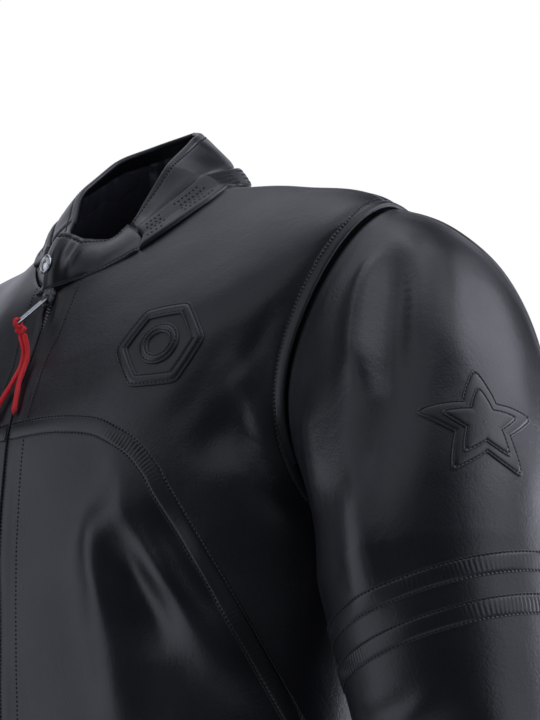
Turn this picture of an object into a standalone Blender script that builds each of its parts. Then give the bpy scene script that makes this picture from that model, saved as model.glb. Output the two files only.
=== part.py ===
"""Leather jacket, filled out with no wearer: stand collar with a snap tab, front zip, set-in
sleeves, a chest band and two bands on each upper arm.

Metres, +Z up. The origin is the middle of the neck opening, level with the shoulder seams' neck
ends. The front faces -Y and the wearer's left is +X. Each cut piece is a thin closed wall. The
body is a set of rings from hem to neck, a point on it being (turn, along): turn 0 is centre
front, 90 the left side seam and 180 centre back. A sleeve is a set of rings from the armhole to
the cuff, a point on it being (beta, along): beta 0 is the top seam, 90 degrees the front.
"""
import itertools
import math

import bmesh
import bpy
import numpy as np
from mathutils import Matrix, Vector
from mathutils.bvhtree import BVHTree

# ---- driving dimensions -----------------------------------------------------------------------
wall = 0.0020                 # leather with its lining
seamGap = 0.0002              # each panel's edge stands back this far at a seam
sleeveGap = 0.0005            # the sleeve starts this far outside the armhole
sleeveRise = 0.45             # least slope at which its lower half leaves the body
sleeveSeamBack = math.radians(50)   # the outer seam ends up this far behind the top of the arm,
sleeveSeamDown = 0.32         # from this share of the sleeve's length downwards
overlayGap = 0.0006           # under a strip that lies on a panel
zipSlit = 0.0035              # half the slit between the fronts
tapeHalf, tapeThick = 0.0120, 0.0012
chainHalf, chainTop = 0.0026, 0.0008
bandWidth, bandThick = 0.0135, 0.0013
weltWidth, weltHeight = 0.0064, 0.0030
weltClear, weltEndClear = 0.0010, 0.0022     # from the seam to the welt, and more at its lower ends
collarWall, facingWall, facingGap = 0.0020, 0.0013, 0.0006
stripLift = 0.0008            # how far the perforated strip stands proud
tabLift = 0.0028              # the snap tab passes over the right collar end
tabEnd, collarFrontEnd = -9.0, 48.0     # turns of the tab's end and of the collar's front seam
stripRise = 0.40              # share of the collar's height that the perforated strip takes
snapRadius, snapHeight = 0.0066, 0.0024

# body rings, hem to neck
bodyColumns = ("along", "halfWidth", "sideY", "frontY", "backY",
               "sideZ", "frontZ", "backZ", "frontCorner", "backCorner", "dish")
bodyRings = {
    "hem":      (0.00, 0.188, 0.000, -0.114, 0.108, -0.640, -0.645, -0.640, 2.30, 2.30, 1.00),
    "waist":    (0.22, 0.186, 0.000, -0.113, 0.104, -0.500, -0.500, -0.500, 2.30, 2.30, 1.00),
    "ribs":     (0.42, 0.198, 0.000, -0.119, 0.116, -0.370, -0.372, -0.365, 2.35, 2.35, 1.00),
    "underarm": (0.60, 0.210, 0.002, -0.122, 0.128, -0.255, -0.262, -0.245, 2.40, 2.40, 1.00),
    "armhole":  (0.72, 0.213, 0.006, -0.118, 0.132, -0.150, -0.187, -0.150, 2.40, 2.40, 1.20),
    "shoulder": (0.84, 0.217, 0.010, -0.101, 0.122, -0.043, -0.133, -0.062, 2.30, 2.30, 1.60),
    "seam":     (0.92, 0.146, 0.008, -0.088, 0.100, -0.013, -0.105, -0.014, 1.90, 2.15, 1.40),
    "neck":     (1.00, 0.074, 0.004, -0.078, 0.076, 0.000, -0.0745, 0.022, 1.50, 2.10, 1.15),
}
trunkRounding = 0.045         # the trunk's shape is evened over this much of "along"
# top edge of the stand collar by turn; its two front ends differ, as the left one is a snap tab
collarColumns = ("turn", "x", "y", "z")
collarTop = {
    "middle":           (-180.0, 0.0000, 0.0630, 0.0650),
    "right back":       (-150.0, -0.0240, 0.0435, 0.0550),
    "right side back":  (-120.0, -0.0384, 0.0160, 0.0405),
    "right side":       (-90.0, -0.0365, -0.0095, 0.0215),
    "right side front": (-60.0, -0.0270, -0.0355, -0.0040),
    "right front":      (-30.0, -0.0120, -0.0610, -0.0270),
    "front":            (0.0, 0.0045, -0.0690, -0.0350),
    "tab":              (15.0, 0.0115, -0.0580, -0.0360),
    "left front":       (30.0, 0.0158, -0.0425, -0.0345),
    "strip end":        (48.0, 0.0212, -0.0285, -0.0225),
    "left side front":  (65.0, 0.0270, -0.0200, -0.0040),
    "left side":        (90.0, 0.0360, -0.0090, 0.0210),
    "left side back":   (120.0, 0.0386, 0.0155, 0.0410),
    "left back":        (150.0, 0.0242, 0.0435, 0.0555),
    "left middle":      (180.0, 0.0000, 0.0630, 0.0650),
}
collarBow = 0.004             # how far the collar rounds out half way up
# sleeve rings: centre, half sizes outward and forward, and the ring's lean in degrees
sleeveColumns = ("along", "x", "y", "z", "outward", "forward", "lean", "pitch")
sleeveRings = {
    "bicep":   (0.40, 0.290, -0.035, -0.295, 0.074, 0.077, 8.0, 2.0),
    "elbow":   (0.62, 0.309, -0.030, -0.425, 0.062, 0.066, 8.0, 0.0),
    "forearm": (0.82, 0.324, -0.037, -0.555, 0.051, 0.056, 7.0, -8.0),
    "cuff":    (1.00, 0.334, -0.056, -0.670, 0.041, 0.046, 6.0, -12.0),
}
armholeAlong, armholeReach = 0.72, 0.12      # middle and half height of the armhole
armholeFront, armholeBack = 29.0, 26.0       # how far it cuts into front and back, degrees
armholeRows = 13                             # rows of points on its front edge, and on its back edge

# folds: the line's points as (turn, along) or (beta, along), half width, height (a trough is < 0)
bodyFolds = {
    "hollow under the chest": (((62, 0.760), (50, 0.705), (36, 0.672)), 0.024, -0.007),
    "upper armpit drag":      (((45, 0.765), (56, 0.700), (68, 0.655)), 0.013, 0.006),
    "lower armpit drag":      (((37, 0.683), (51, 0.645), (70, 0.610)), 0.015, 0.005),
    "front ridge":            (((21, 0.690), (24, 0.640), (19, 0.600), (22, 0.500), (27, 0.380)),
                               0.016, 0.006),
    "slanting ridge":         (((25, 0.630), (32, 0.578), (43, 0.505), (56, 0.420)), 0.015, 0.006),
    "valley under the band":  (((29, 0.632), (38, 0.572), (50, 0.500)), 0.013, -0.005),
    "valley between ridges":  (((21, 0.605), (28, 0.550), (37, 0.480)), 0.013, -0.006),
    "side waist":             (((88, 0.330), (66, 0.270), (44, 0.260)), 0.022, -0.006),
    "side skirt":             (((84, 0.230), (72, 0.130), (64, 0.010)), 0.024, 0.006),
    "front skirt":            (((40, 0.240), (34, 0.120), (32, 0.000)), 0.026, 0.005),
    "shoulder blade drag":    (((116, 0.640), (136, 0.560), (150, 0.450)), 0.022, -0.006),
    "back armhole ridge":     (((120, 0.720), (132, 0.640), (136, 0.520)), 0.018, 0.006),
    "back waist":             (((96, 0.300), (132, 0.255), (178, 0.262)), 0.024, -0.007),
    "back skirt":             (((140, 0.220), (146, 0.120), (150, 0.000)), 0.028, 0.006),
}
sleeveFolds = {
    "cap valley":         (((16, 0.060), (37, 0.128), (56, 0.229), (75, 0.340)), 0.014, -0.006),
    "outer cap ridge":    (((12, 0.070), (24, 0.150), (32, 0.250)), 0.016, 0.004),
    "front cap ridge":    (((30, 0.050), (50, 0.110), (68, 0.190)), 0.014, 0.004),
    "front edge ridge":   (((78, 0.100), (96, 0.170), (112, 0.270)), 0.013, 0.004),
    "front arm ridge":    (((76, 0.270), (88, 0.360), (96, 0.470)), 0.014, 0.004),
    "inner elbow crease": (((50, 0.580), (95, 0.610), (140, 0.585)), 0.013, -0.007),
    "second elbow crease": (((60, 0.660), (100, 0.672), (150, 0.690)), 0.012, -0.006),
    "elbow roll":         (((55, 0.620), (98, 0.640), (145, 0.640)), 0.012, 0.005),
    "outer elbow drag":   (((-40, 0.560), (-80, 0.610), (-110, 0.680)), 0.018, -0.005),
    "forearm drag":       (((20, 0.760), (60, 0.800), (100, 0.860)), 0.016, -0.005),
    "back arm drag":      (((-60, 0.160), (-80, 0.280), (-100, 0.420)), 0.020, -0.006),
}

# chest band: centre line on the left front
chestBandLine = ((0.0, 0.737), (7.5, 0.737), (15.4, 0.726), (20.3, 0.710), (24.9, 0.691), (29.2, 0.665),
                 (32.2, 0.641), (38.9, 0.594), (45.2, 0.552), (52.0, 0.508), (66.0, 0.425), (88.5, 0.310))
# arm bands: first and last "along" of each, before the slant
armBands = {"upper": (0.425, 0.448), "lower": (0.469, 0.490)}
armBandSlant = 0.015
weltSpan = math.radians(122)                 # the welt runs this far from the shoulder, each way

# badges of plain shapes, left side: middle on the surface, size
nutMiddle, nutRadius, nutStrip = (27.5, 0.814), 0.029, 0.0090
washerRadius, washerStrip = 0.0115, 0.0070
starMiddle, starRadius, starInner = (24.0, 0.300), 0.041, 0.46
starLayers = {"plate": (1.0, 0.0012), "top": (0.66, 0.0012)}

# zip slider, its pull, and the cord looped through the pull's end
sliderAlong = 0.985
sliderOutline = ((0.0034, 0.0063), (0.0044, 0.0020), (0.0047, -0.0035), (0.0038, -0.0058), (0.0012, -0.0063))
sliderLift, sliderThick = 0.0005, 0.0026
archWidth, archThick, archInside, archHalf = 0.0024, 0.0008, 0.0024, 0.0026
archDrop = 0.0028                            # the arch stands this far below the slider's middle
pullLength, pullHalf, pullThick = 0.0330, 0.0026, 0.0012
pullLean = 50.0                              # the pull's lean from straight down, degrees
pullWindow = 0.0060                          # the arch passes through this much of its upper end
eyeHalf, eyeStart, eyeEnd = 0.0014, 0.0046, 0.0016     # the slot near its lower end, from that end
loopRadius, loopThick = 0.0024, 0.0020
knotDrop, knotHalf, knotWide = 0.0050, 0.0026, 0.0034
cordDiameter = 0.0032
cordRoutes = {                               # hand-laid: from the knot down the chest
    "right": ((0.0018, -0.1050, -0.1089), (0.0018, -0.1031, -0.1143), (0.0018, -0.1018, -0.1190),
              (0.0018, -0.1020, -0.1243), (0.0018, -0.1043, -0.1313), (0.0018, -0.1076, -0.1385),
              (0.0023, -0.1102, -0.1456), (0.0031, -0.1125, -0.1528), (0.0034, -0.1143, -0.1600),
              (0.0032, -0.1153, -0.1650)),
    "left": ((-0.0018, -0.1050, -0.1089), (-0.0018, -0.1031, -0.1143), (-0.0018, -0.1018, -0.1190),
             (-0.0018, -0.1020, -0.1243), (-0.0020, -0.1043, -0.1313), (-0.0030, -0.1076, -0.1380),
             (-0.0052, -0.1100, -0.1440), (-0.0082, -0.1120, -0.1500), (-0.0112, -0.1139, -0.1560),
             (-0.0140, -0.1156, -0.1622), (-0.0160, -0.1170, -0.1680)),
}

colours = {
    "leather": ((0.012, 0.013, 0.017, 1), 0.42, 0.0),
    "lining": ((0.010, 0.010, 0.012, 1), 0.60, 0.0),
    "tape": ((0.015, 0.015, 0.016, 1), 0.85, 0.0),
    "steel": ((0.55, 0.55, 0.56, 1), 0.28, 1.0),
    "red cord": ((0.62, 0.012, 0.018, 1), 0.60, 0.0),
}


# ---- forms ------------------------------------------------------------------------------------
def throughTable(table, columns, name, at):
    """Monotone smooth curve through one named column of a table, against its first column."""
    xs = np.array([row[0] for row in table.values()])
    ys = np.array([row[columns.index(name)] for row in table.values()])
    width = np.diff(xs)
    slope = np.diff(ys) / width
    tangent = np.empty(len(xs))
    tangent[0], tangent[-1] = slope[0], slope[-1]
    for i in range(1, len(xs) - 1):
        if slope[i - 1] * slope[i] > 0:
            first, second = 2 * width[i] + width[i - 1], width[i] + 2 * width[i - 1]
            tangent[i] = (first + second) / (first / slope[i - 1] + second / slope[i])
        else:
            tangent[i] = 0.0
    at = np.clip(at, xs[0], xs[-1])
    k = np.clip(np.searchsorted(xs, at, side="right") - 1, 0, len(xs) - 2)
    t = (at - xs[k]) / width[k]
    return ((1 + 2 * t) * (1 - t) ** 2 * ys[k] + t * (1 - t) ** 2 * width[k] * tangent[k]
            + t * t * (3 - 2 * t) * ys[k + 1] + t * t * (t - 1) * width[k] * tangent[k + 1])


def unit(v):
    return v / np.maximum(np.linalg.norm(v, axis=-1, keepdims=True), 1e-12)


def smooth(t):
    t = np.clip(t, 0, 1)
    return t * t * (3 - 2 * t)


def ringPoint(turn, along):
    halfWidth, sideY, frontY, backY, sideZ, frontZ, backZ, frontCorner, backCorner, dish = (
        throughTable(bodyRings, bodyColumns, name, along) for name in bodyColumns[1:])
    sine, cosine = np.sin(np.radians(turn)), np.cos(np.radians(turn))
    corner = np.where(cosine > 0, frontCorner, backCorner)
    depth = np.abs(cosine) ** (2 / corner)
    x = halfWidth * np.sign(sine) * np.abs(sine) ** (2 / corner)
    y = sideY + np.where(cosine > 0, frontY - sideY, backY - sideY) * depth
    z = sideZ + np.where(cosine > 0, frontZ - sideZ, backZ - sideZ) * depth ** dish
    return np.stack([x, y, z], -1)


def bodyForm(turn, along):
    """Point of the body without its folds: rings evened along the trunk, except at the sides."""
    turn, along = np.broadcast_arrays(np.asarray(turn, float), np.asarray(along, float))
    fromSide = np.degrees(np.arcsin(np.minimum(np.abs(np.cos(np.radians(turn))), 1)))
    reach = trunkRounding * smooth((fromSide - 10) / 35)
    reach = np.minimum(reach, np.clip(np.minimum(along, 1 - along), 0, None))
    return (ringPoint(turn, along - reach) + 2 * ringPoint(turn, along) + ringPoint(turn, along + reach)) / 4


def turnAt(x, along):
    """The turn at which the front of a ring is x from the middle."""
    halfWidth = throughTable(bodyRings, bodyColumns, "halfWidth", along)
    corner = throughTable(bodyRings, bodyColumns, "frontCorner", along)
    return np.sign(x) * np.degrees(np.arcsin((np.abs(x) / halfWidth) ** (corner / 2)))


def normalsOf(form, a, b, stepA, stepB):
    da = form(a + stepA, b) - form(a - stepA, b)
    db = form(a, b + stepB) - form(a, b - stepB)
    return unit(np.cross(da, db))


def armholeTurn(beta):
    return 90 - np.where(np.sin(beta) > 0, armholeFront, armholeBack) * np.sin(beta)


def armholeLevel(beta):
    return armholeAlong + armholeReach * np.cos(beta)


def armholeBeta(along):
    return np.arccos(np.clip((along - armholeAlong) / armholeReach, -1, 1))


def sleeveForm(beta, along):
    """Point of the left sleeve without its folds: a cap from the armhole, then rings."""
    beta, along = np.broadcast_arrays(np.asarray(beta, float), np.asarray(along, float))
    start = bodyForm(armholeTurn(beta), armholeLevel(beta))
    bodyOut = normalsOf(bodyForm, armholeTurn(beta), armholeLevel(beta), 1.0, 0.004)
    sine, cosine = np.sin(beta), np.cos(beta)
    leave = unit(np.stack([0.70 + 0.28 * cosine, -0.62 * sine, -0.68 + 0.40 * cosine], -1))
    rise = np.sum(leave * bodyOut, -1, keepdims=True)
    leave = unit(leave + bodyOut * np.maximum(0, sleeveRise * smooth((0.3 - cosine) / 0.6)[..., None] - rise))
    start = start + leave * (sleeveGap + wall * np.maximum(0, -rise)) + bodyOut * sleeveGap
    bicep = sleeveRings["bicep"][0]
    lower = np.maximum(along, bicep)
    x, y, z, outward, forward, lean, pitch = (
        throughTable(sleeveRings, sleeveColumns, name, lower) for name in sleeveColumns[1:])
    lean, pitch = np.radians(lean), np.radians(pitch)
    acrossX = np.stack([np.cos(lean), 0 * lean, np.sin(lean)], -1)
    acrossY = np.stack([0 * pitch, np.cos(pitch), -np.sin(pitch)], -1)
    ring = (np.stack([x, y, z], -1) + (outward * cosine)[..., None] * acrossX
            - (forward * sine)[..., None] * acrossY)
    down = unit(np.cross(acrossY, acrossX))
    reach = np.linalg.norm(ring - start, axis=-1, keepdims=True)
    t = np.clip(along / bicep, 0, 1)[..., None]
    cap = ((1 + 2 * t) * (1 - t) ** 2 * start + t * (1 - t) ** 2 * 1.15 * reach * leave
           + t * t * (3 - 2 * t) * ring + t * t * (t - 1) * reach * down)
    return np.where((along <= bicep)[..., None], cap, ring)


def collarForm(turn, rise):
    """Point of the stand collar: rise 0 is the neck seam, 1 the top edge."""
    turn, rise = np.broadcast_arrays(np.asarray(turn, float), np.asarray(rise, float))
    around = np.mod(turn + 180, 360) - 180
    top = np.stack([throughTable(collarTop, collarColumns, name, around) for name in collarColumns[1:]], -1)
    base = bodyForm(turn, 1.0)
    outward = unit(base * (1, 1, 0))
    bow = (collarBow * 4 * rise * (1 - rise))[..., None]
    return base + (top - base) * rise[..., None] + outward * bow


def smoothLine(points, count):
    """Evenly parted points on a Catmull-Rom curve through the given ones."""
    points = np.asarray(points, float)
    padded = np.vstack([2 * points[0] - points[1], points, 2 * points[-1] - points[-2]])
    at = np.linspace(0, len(points) - 1, count)
    k = np.clip(at.astype(int), 0, len(points) - 2)
    t = (at - k)[:, None]
    p0, p1, p2, p3 = padded[k], padded[k + 1], padded[k + 2], padded[k + 3]
    return 0.5 * (2 * p1 + (p2 - p0) * t + (2 * p0 - 5 * p1 + 4 * p2 - p3) * t ** 2
                  + (3 * p1 - p0 - 3 * p2 + p3) * t ** 3)


def foldHeight(points, folds, form, inDegrees):
    """Height of all folds at the given points, each a soft ridge or trough along its line."""
    flat = points.reshape(-1, 3)
    total = np.zeros(len(flat))
    for line, halfWidth, height in folds.values():
        steps = smoothLine(line, 40)
        first = steps[:, 0] if inDegrees else np.radians(steps[:, 0])
        path = form(first, steps[:, 1])
        distance = np.linalg.norm(flat[:, None] - path[None], axis=-1)
        nearest = distance.argmin(1)
        share = nearest / (len(path) - 1)
        ends = smooth(share / 0.25) * smooth((1 - share) / 0.25)
        total += height * ends * np.exp(-(distance.min(1) / halfWidth) ** 2)
    return total.reshape(points.shape[:-1])


armholeSteps = np.radians(np.arange(0, 360, 6))
armholeLoop = bodyForm(armholeTurn(armholeSteps), armholeLevel(armholeSteps))


def bodySurface(turn, along):
    """Point of the body with its folds, which fade out at the zip, the neck and the armholes."""
    turn, along = np.broadcast_arrays(np.asarray(turn, float), np.asarray(along, float))
    right = np.sin(np.radians(turn)) < 0
    leftTurn = np.where(right, 360 - np.mod(turn, 360), np.mod(turn, 360))
    point = bodyForm(leftTurn, along)
    out = normalsOf(bodyForm, leftTurn, along, 0.5, 0.003)
    edge = np.linalg.norm(point[..., None, :] - armholeLoop, axis=-1).min(-1)
    front = np.where(point[..., 1] < 0, smooth((np.abs(point[..., 0]) - 0.012) / 0.025), 1)
    fade = smooth((edge - 0.004) / 0.026) * front * smooth((0.97 - along) / 0.05)
    point = point + out * (foldHeight(point, bodyFolds, bodyForm, True) * fade)[..., None]
    return np.where(right[..., None], point * (-1, 1, 1), point)


def sleeveSurface(beta, along):
    """Point of the left sleeve with its folds, which fade out at the armhole."""
    beta, along = np.broadcast_arrays(np.asarray(beta, float), np.asarray(along, float))
    point = sleeveForm(beta, along)
    out = normalsOf(sleeveForm, beta, along, 0.01, 0.003)
    height = foldHeight(point, sleeveFolds, sleeveForm, False) * smooth((along - 0.02) / 0.06)
    return point + out * height[..., None]


# ---- making solids ----------------------------------------------------------------------------
def material(name):
    found = bpy.data.materials.get(name)
    if found:
        return found
    colour, roughness, metallic = colours[name]
    made = bpy.data.materials.new(name)
    made.use_nodes = True
    shader = made.node_tree.nodes["Principled BSDF"]
    shader.inputs["Base Color"].default_value = colour
    shader.inputs["Roughness"].default_value = roughness
    shader.inputs["Metallic"].default_value = metallic
    made.diffuse_color = colour
    return made


def makeObject(name, points, faces, slot, flatAngle=40):
    mesh = bpy.data.meshes.new(name)
    mesh.from_pydata([tuple(p) for p in points], [], faces)
    bm = bmesh.new()
    bm.from_mesh(mesh)
    bmesh.ops.recalc_face_normals(bm, faces=bm.faces)
    bm.to_mesh(mesh)
    bm.free()
    mesh.shade_smooth()
    mesh.set_sharp_from_angle(angle=math.radians(flatAngle))
    mesh.materials.append(material(slot))
    made = bpy.data.objects.new(name, mesh)
    bpy.context.scene.collection.objects.link(made)
    return made


def twoTriangles(points, a, b, c, d):
    """A bent quad as two triangles, split along its shorter diagonal."""
    if np.linalg.norm(points[a] - points[c]) < np.linalg.norm(points[b] - points[d]):
        return [(a, b, c), (a, c, d)]
    return [(a, b, d), (b, c, d)]


def wallBetween(name, outer, inner, slot, ring=False):
    """Closed wall between two grids of points; ring joins the last row to the first."""
    rows, columns = outer.shape[:2]
    points = np.concatenate([outer.reshape(-1, 3), inner.reshape(-1, 3)])
    at = lambda i, j, side: side * rows * columns + (i % rows) * columns + j
    faces = []
    for i in range(rows if ring else rows - 1):
        for j in range(columns - 1):
            for side in (0, 1):
                faces += twoTriangles(points, at(i, j, side), at(i, j + 1, side), at(i + 1, j + 1, side),
                                      at(i + 1, j, side))
        for j in (0, columns - 1):
            faces += twoTriangles(points, at(i, j, 0), at(i + 1, j, 0), at(i + 1, j, 1), at(i, j, 1))
    if not ring:
        for i in (0, rows - 1):
            for j in range(columns - 1):
                faces += twoTriangles(points, at(i, j, 0), at(i, j, 1), at(i, j + 1, 1), at(i, j + 1, 0))
    return makeObject(name, points, faces, slot)


def drawnIn(grid, edges):
    """The shifts that part a panel's edges from its neighbours': one small step inwards."""
    shift = np.zeros_like(grid)
    steps = {"first column": (np.s_[:, 0], np.s_[:, 1]), "last column": (np.s_[:, -1], np.s_[:, -2]),
             "first row": (np.s_[0], np.s_[1]), "last row": (np.s_[-1], np.s_[-2])}
    for edge in edges:
        border, inside = steps[edge]
        shift[border] += unit(grid[inside] - grid[border]) * seamGap
    return shift


def mirrored(grid):
    return grid * (-1, 1, 1)


def treeOf(objects):
    """One search tree over the finished panels, to lay strips on them."""
    points, faces = [], []
    for piece in objects:
        first = len(points)
        points += [v.co.copy() for v in piece.data.vertices]
        faces += [tuple(first + v for v in p.vertices) for p in piece.data.polygons]
    return BVHTree.FromPolygons(points, faces)


def layOn(tree, points, normals):
    """Drop each point on to the panel below it, along its normal."""
    laid = np.empty_like(points)
    for index in np.ndindex(points.shape[:-1]):
        point, normal = Vector(points[index]), Vector(normals[index])
        hit = tree.ray_cast(point + normal * 0.012, -normal, 0.030)[0]
        laid[index] = hit if hit is not None else tree.find_nearest(point)[0]
    return laid


def settle(tree, points, normals, ring=False):
    """Lay points just above the panel, and lift them where it stands up between them."""
    under = layOn(tree, points, normals) + normals * overlayGap
    lift = np.zeros(under.shape[:2])
    rows, columns = under.shape[:2]
    for i, j in itertools.product(range(rows if ring else rows - 1), range(columns - 1)):
        corners = [(i, j), ((i + 1) % rows, j), (i, j + 1), ((i + 1) % rows, j + 1)]
        for a, b in itertools.product((0.25, 0.5, 0.75), (0.0, 0.25, 0.5, 0.75, 1.0)):
            shares = ((1 - a) * (1 - b), a * (1 - b), (1 - a) * b, a * b)
            spot = sum(share * under[corner] for share, corner in zip(shares, corners))
            normal = unit(sum(share * normals[corner] for share, corner in zip(shares, corners)))
            stand = (layOn(tree, spot, normal) - spot) @ normal + overlayGap * 0.8
            for corner in corners:
                lift[corner] = max(lift[corner], stand)
    return under + normals * lift[..., None]


def strip(name, tree, surface, line, normalSteps, across, heights, slot, ring=False, mirror=False):
    """Strip along a line of surface parameters: across gives its points sideways, heights their tops."""
    a, b = line[:, 0], line[:, 1]
    centre = surface(a, b)
    normal = normalsOf(surface, a, b, *normalSteps)
    if np.sum(normal * (centre - centre.mean(0))) < 0:
        normal = -normal
    if ring:
        tangent = unit(np.roll(centre, -1, 0) - np.roll(centre, 1, 0))
    else:
        tangent = unit(np.gradient(centre, axis=0))
    side = unit(np.cross(normal, tangent))
    points = centre[:, None] + side[:, None] * np.asarray(across)[None, :, None]
    normals = np.repeat(normal[:, None], len(across), 1)
    under = settle(tree, points, normals, ring)
    heights = np.broadcast_to(np.asarray(heights, float), under.shape[:2])
    over = under + normals * heights[..., None]
    if mirror:
        under, over = mirrored(under), mirrored(over)
    return wallBetween(name, over, under, slot, ring)


# ---- panels -----------------------------------------------------------------------------------
def panelLevels():
    below = np.linspace(0.0, armholeAlong - armholeReach, 13)[:-1]
    beside = armholeAlong + armholeReach * np.cos(np.linspace(math.pi, 0, armholeRows))
    above = np.linspace(armholeAlong + armholeReach, 1.0, 5)[1:]
    return np.concatenate([below, beside, above])


def addPanel(name, turns, levels, edges, mirror=False):
    outer = bodySurface(turns, levels)
    normal = normalsOf(bodySurface, turns, levels, 0.5, 0.003)
    shift = drawnIn(outer, edges)
    inner = outer - normal * wall
    if mirror:
        outer, inner, shift = mirrored(outer), mirrored(inner), mirrored(shift)
    return wallBetween(name, outer + shift, inner + shift, "leather")


def addBody():
    along = panelLevels()
    cut = np.sin(armholeBeta(along))
    share = np.linspace(0, 1, 11)[None]
    frontTurns = (turnAt(zipSlit, along) * np.ones_like(along))[:, None] * (1 - share) \
        + (90 - armholeFront * cut)[:, None] * share
    levels = np.repeat(along[:, None], frontTurns.shape[1], 1)
    panels = [addPanel("front_" + side, frontTurns, levels, ("last column", "last row"), side == "right")
              for side in ("left", "right")]
    share = np.linspace(-1, 1, 19)[None]
    backTurns = 180 + share * (90 - armholeBack * cut)[:, None]
    levels = np.repeat(along[:, None], backTurns.shape[1], 1)
    panels.append(addPanel("back", backTurns, levels, ("first column", "last column", "last row")))
    return panels


def sleeveSeam(along):
    """Beta of the outer seam: 0 at the armhole, then curving to the back of the arm."""
    return -sleeveSeamBack * smooth(along / sleeveSeamDown)


def addSleeves():
    along = np.concatenate([np.linspace(0, 0.40, 9), np.linspace(0.40, 1.0, 11)[1:]])
    seam, share = sleeveSeam(along)[None], np.linspace(0, 1, armholeRows)[:, None]
    halves = {"front": seam + (math.pi - seam) * share, "back": math.pi + (math.pi + seam) * share}
    panels = []
    for half, beta in halves.items():
        level = np.repeat(along[None], armholeRows, 0)
        outer = sleeveSurface(beta, level)
        inner = outer - normalsOf(sleeveSurface, beta, level, 0.01, 0.003) * wall
        shift = drawnIn(outer, ("first row", "last row"))
        for side in ("left", "right"):
            flip = mirrored if side == "right" else np.array
            name = f"sleeve_{half}_{side}"
            panels.append(wallBetween(name, flip(outer + shift), flip(inner + shift), "leather"))
    return panels


# ---- collar -----------------------------------------------------------------------------------
def collarGrid(turns, rises, out):
    turn, rise = np.meshgrid(turns, rises, indexing="ij")
    normal = normalsOf(collarForm, turn, rise, 0.5, 0.01)
    return collarForm(turn, rise) + normal * np.asarray(out)[:, None, None], normal


def addCollarPiece(name, turns, rises, out, thick, slot, edges):
    outer, normal = collarGrid(turns, rises, out)
    shift = drawnIn(outer, edges)
    return wallBetween(name, outer + shift, outer + shift - normal * thick, slot)


def addCollar():
    foot = 0.015
    tabTurns = np.append(tabEnd, np.linspace(0, collarFrontEnd, 10))
    rightTurns = 360 - tabTurns[:0:-1]
    around = np.linspace(collarFrontEnd, 360 - collarFrontEnd, 23)
    tabOut = tabLift * smooth((15 - tabTurns) / 11)
    addCollarPiece("collar_tab", tabTurns, np.linspace(foot + 0.07, 1, 5), tabOut, collarWall,
                   "leather", ("last row",))
    addCollarPiece("collar_front_right", rightTurns, np.linspace(foot, 1, 5), 0 * rightTurns, collarWall,
                   "leather", ("first row",))
    addCollarPiece("collar_strip", around, np.linspace(foot, stripRise, 3), 0 * around + stripLift,
                   collarWall + stripLift, "leather", ("first row", "last row", "last column"))
    addCollarPiece("collar_band", around, np.linspace(stripRise, 1, 4), 0 * around, collarWall,
                   "leather", ("first row", "last row", "first column"))
    inside = np.concatenate([tabTurns[2:-1], around, rightTurns[1:-1]])
    addCollarPiece("collar_facing", inside, np.linspace(foot, 0.99, 5), 0 * inside - collarWall - facingGap,
                   facingWall, "lining", ())


def tabFrame(turn, rise):
    """Point, outward normal and upward direction on the snap tab."""
    out = tabLift * smooth((15 - turn) / 11)
    normal = normalsOf(collarForm, np.array(float(turn)), np.array(float(rise)), 0.5, 0.01)
    up = unit(collarForm(turn, rise + 0.01) - collarForm(turn, rise - 0.01))
    return collarForm(turn, rise) + normal * out, normal, up


def turned(name, profile, centre, axis, slot, sides=20):
    """Solid of revolution from (radius, height) points, closed at both ends on its axis."""
    axis = unit(np.asarray(axis, float))
    first = unit(np.cross(axis, (0.3, 0.2, 1.0)))
    second = np.cross(axis, first)
    angles = np.linspace(0, 2 * math.pi, sides, endpoint=False)
    rim = np.cos(angles)[:, None] * first + np.sin(angles)[:, None] * second
    points, faces = [], []
    for radius, height in profile:
        points += list(np.asarray(centre) + axis * height + rim * radius)
    last = len(profile) - 1
    for k in range(last):
        for i in range(sides):
            j = (i + 1) % sides
            faces.append((k * sides + i, k * sides + j, (k + 1) * sides + j, (k + 1) * sides + i))
    faces.append(tuple(range(sides)))
    faces.append(tuple(last * sides + i for i in reversed(range(sides))))
    return makeObject(name, points, faces, slot)


def addSnap():
    centre, normal, _ = tabFrame(0.0, 0.47)
    seat = 0.0004
    dome = [(snapRadius, seat), (snapRadius, seat + 0.0011)]
    for angle in np.radians((25, 50, 75)):
        dome.append((snapRadius * math.cos(angle), seat + 0.0011 + (snapHeight - 0.0011) * math.sin(angle)))
    turned("collar_snap", dome, centre, normal, "steel")


# ---- trim on the panels -----------------------------------------------------------------------
def addChestBands(tree):
    line = smoothLine(chestBandLine, 46)
    line[0, 0] = turnAt(zipSlit + 0.0006, line[0, 1])
    half = bandWidth / 2
    for side in ("left", "right"):
        strip("chest_band_" + side, tree, bodySurface, line, (0.5, 0.003), (-half, 0, half), bandThick,
              "leather", mirror=side == "right")


def addArmBands(tree):
    beta = np.linspace(0, 2 * math.pi, 2 * (armholeRows - 1), endpoint=False)
    for level, (first, last) in armBands.items():
        middle = (first + last) / 2 - armBandSlant * np.cos(beta) + armBandSlant * np.sin(beta)
        for side in ("left", "right"):
            strip(f"arm_band_{level}_{side}", tree, sleeveSurface, np.stack([beta, middle], 1),
                  (0.01, 0.003), (-bandWidth / 2, bandWidth / 2), bandThick, "leather", ring=True,
                  mirror=side == "right")


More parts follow.
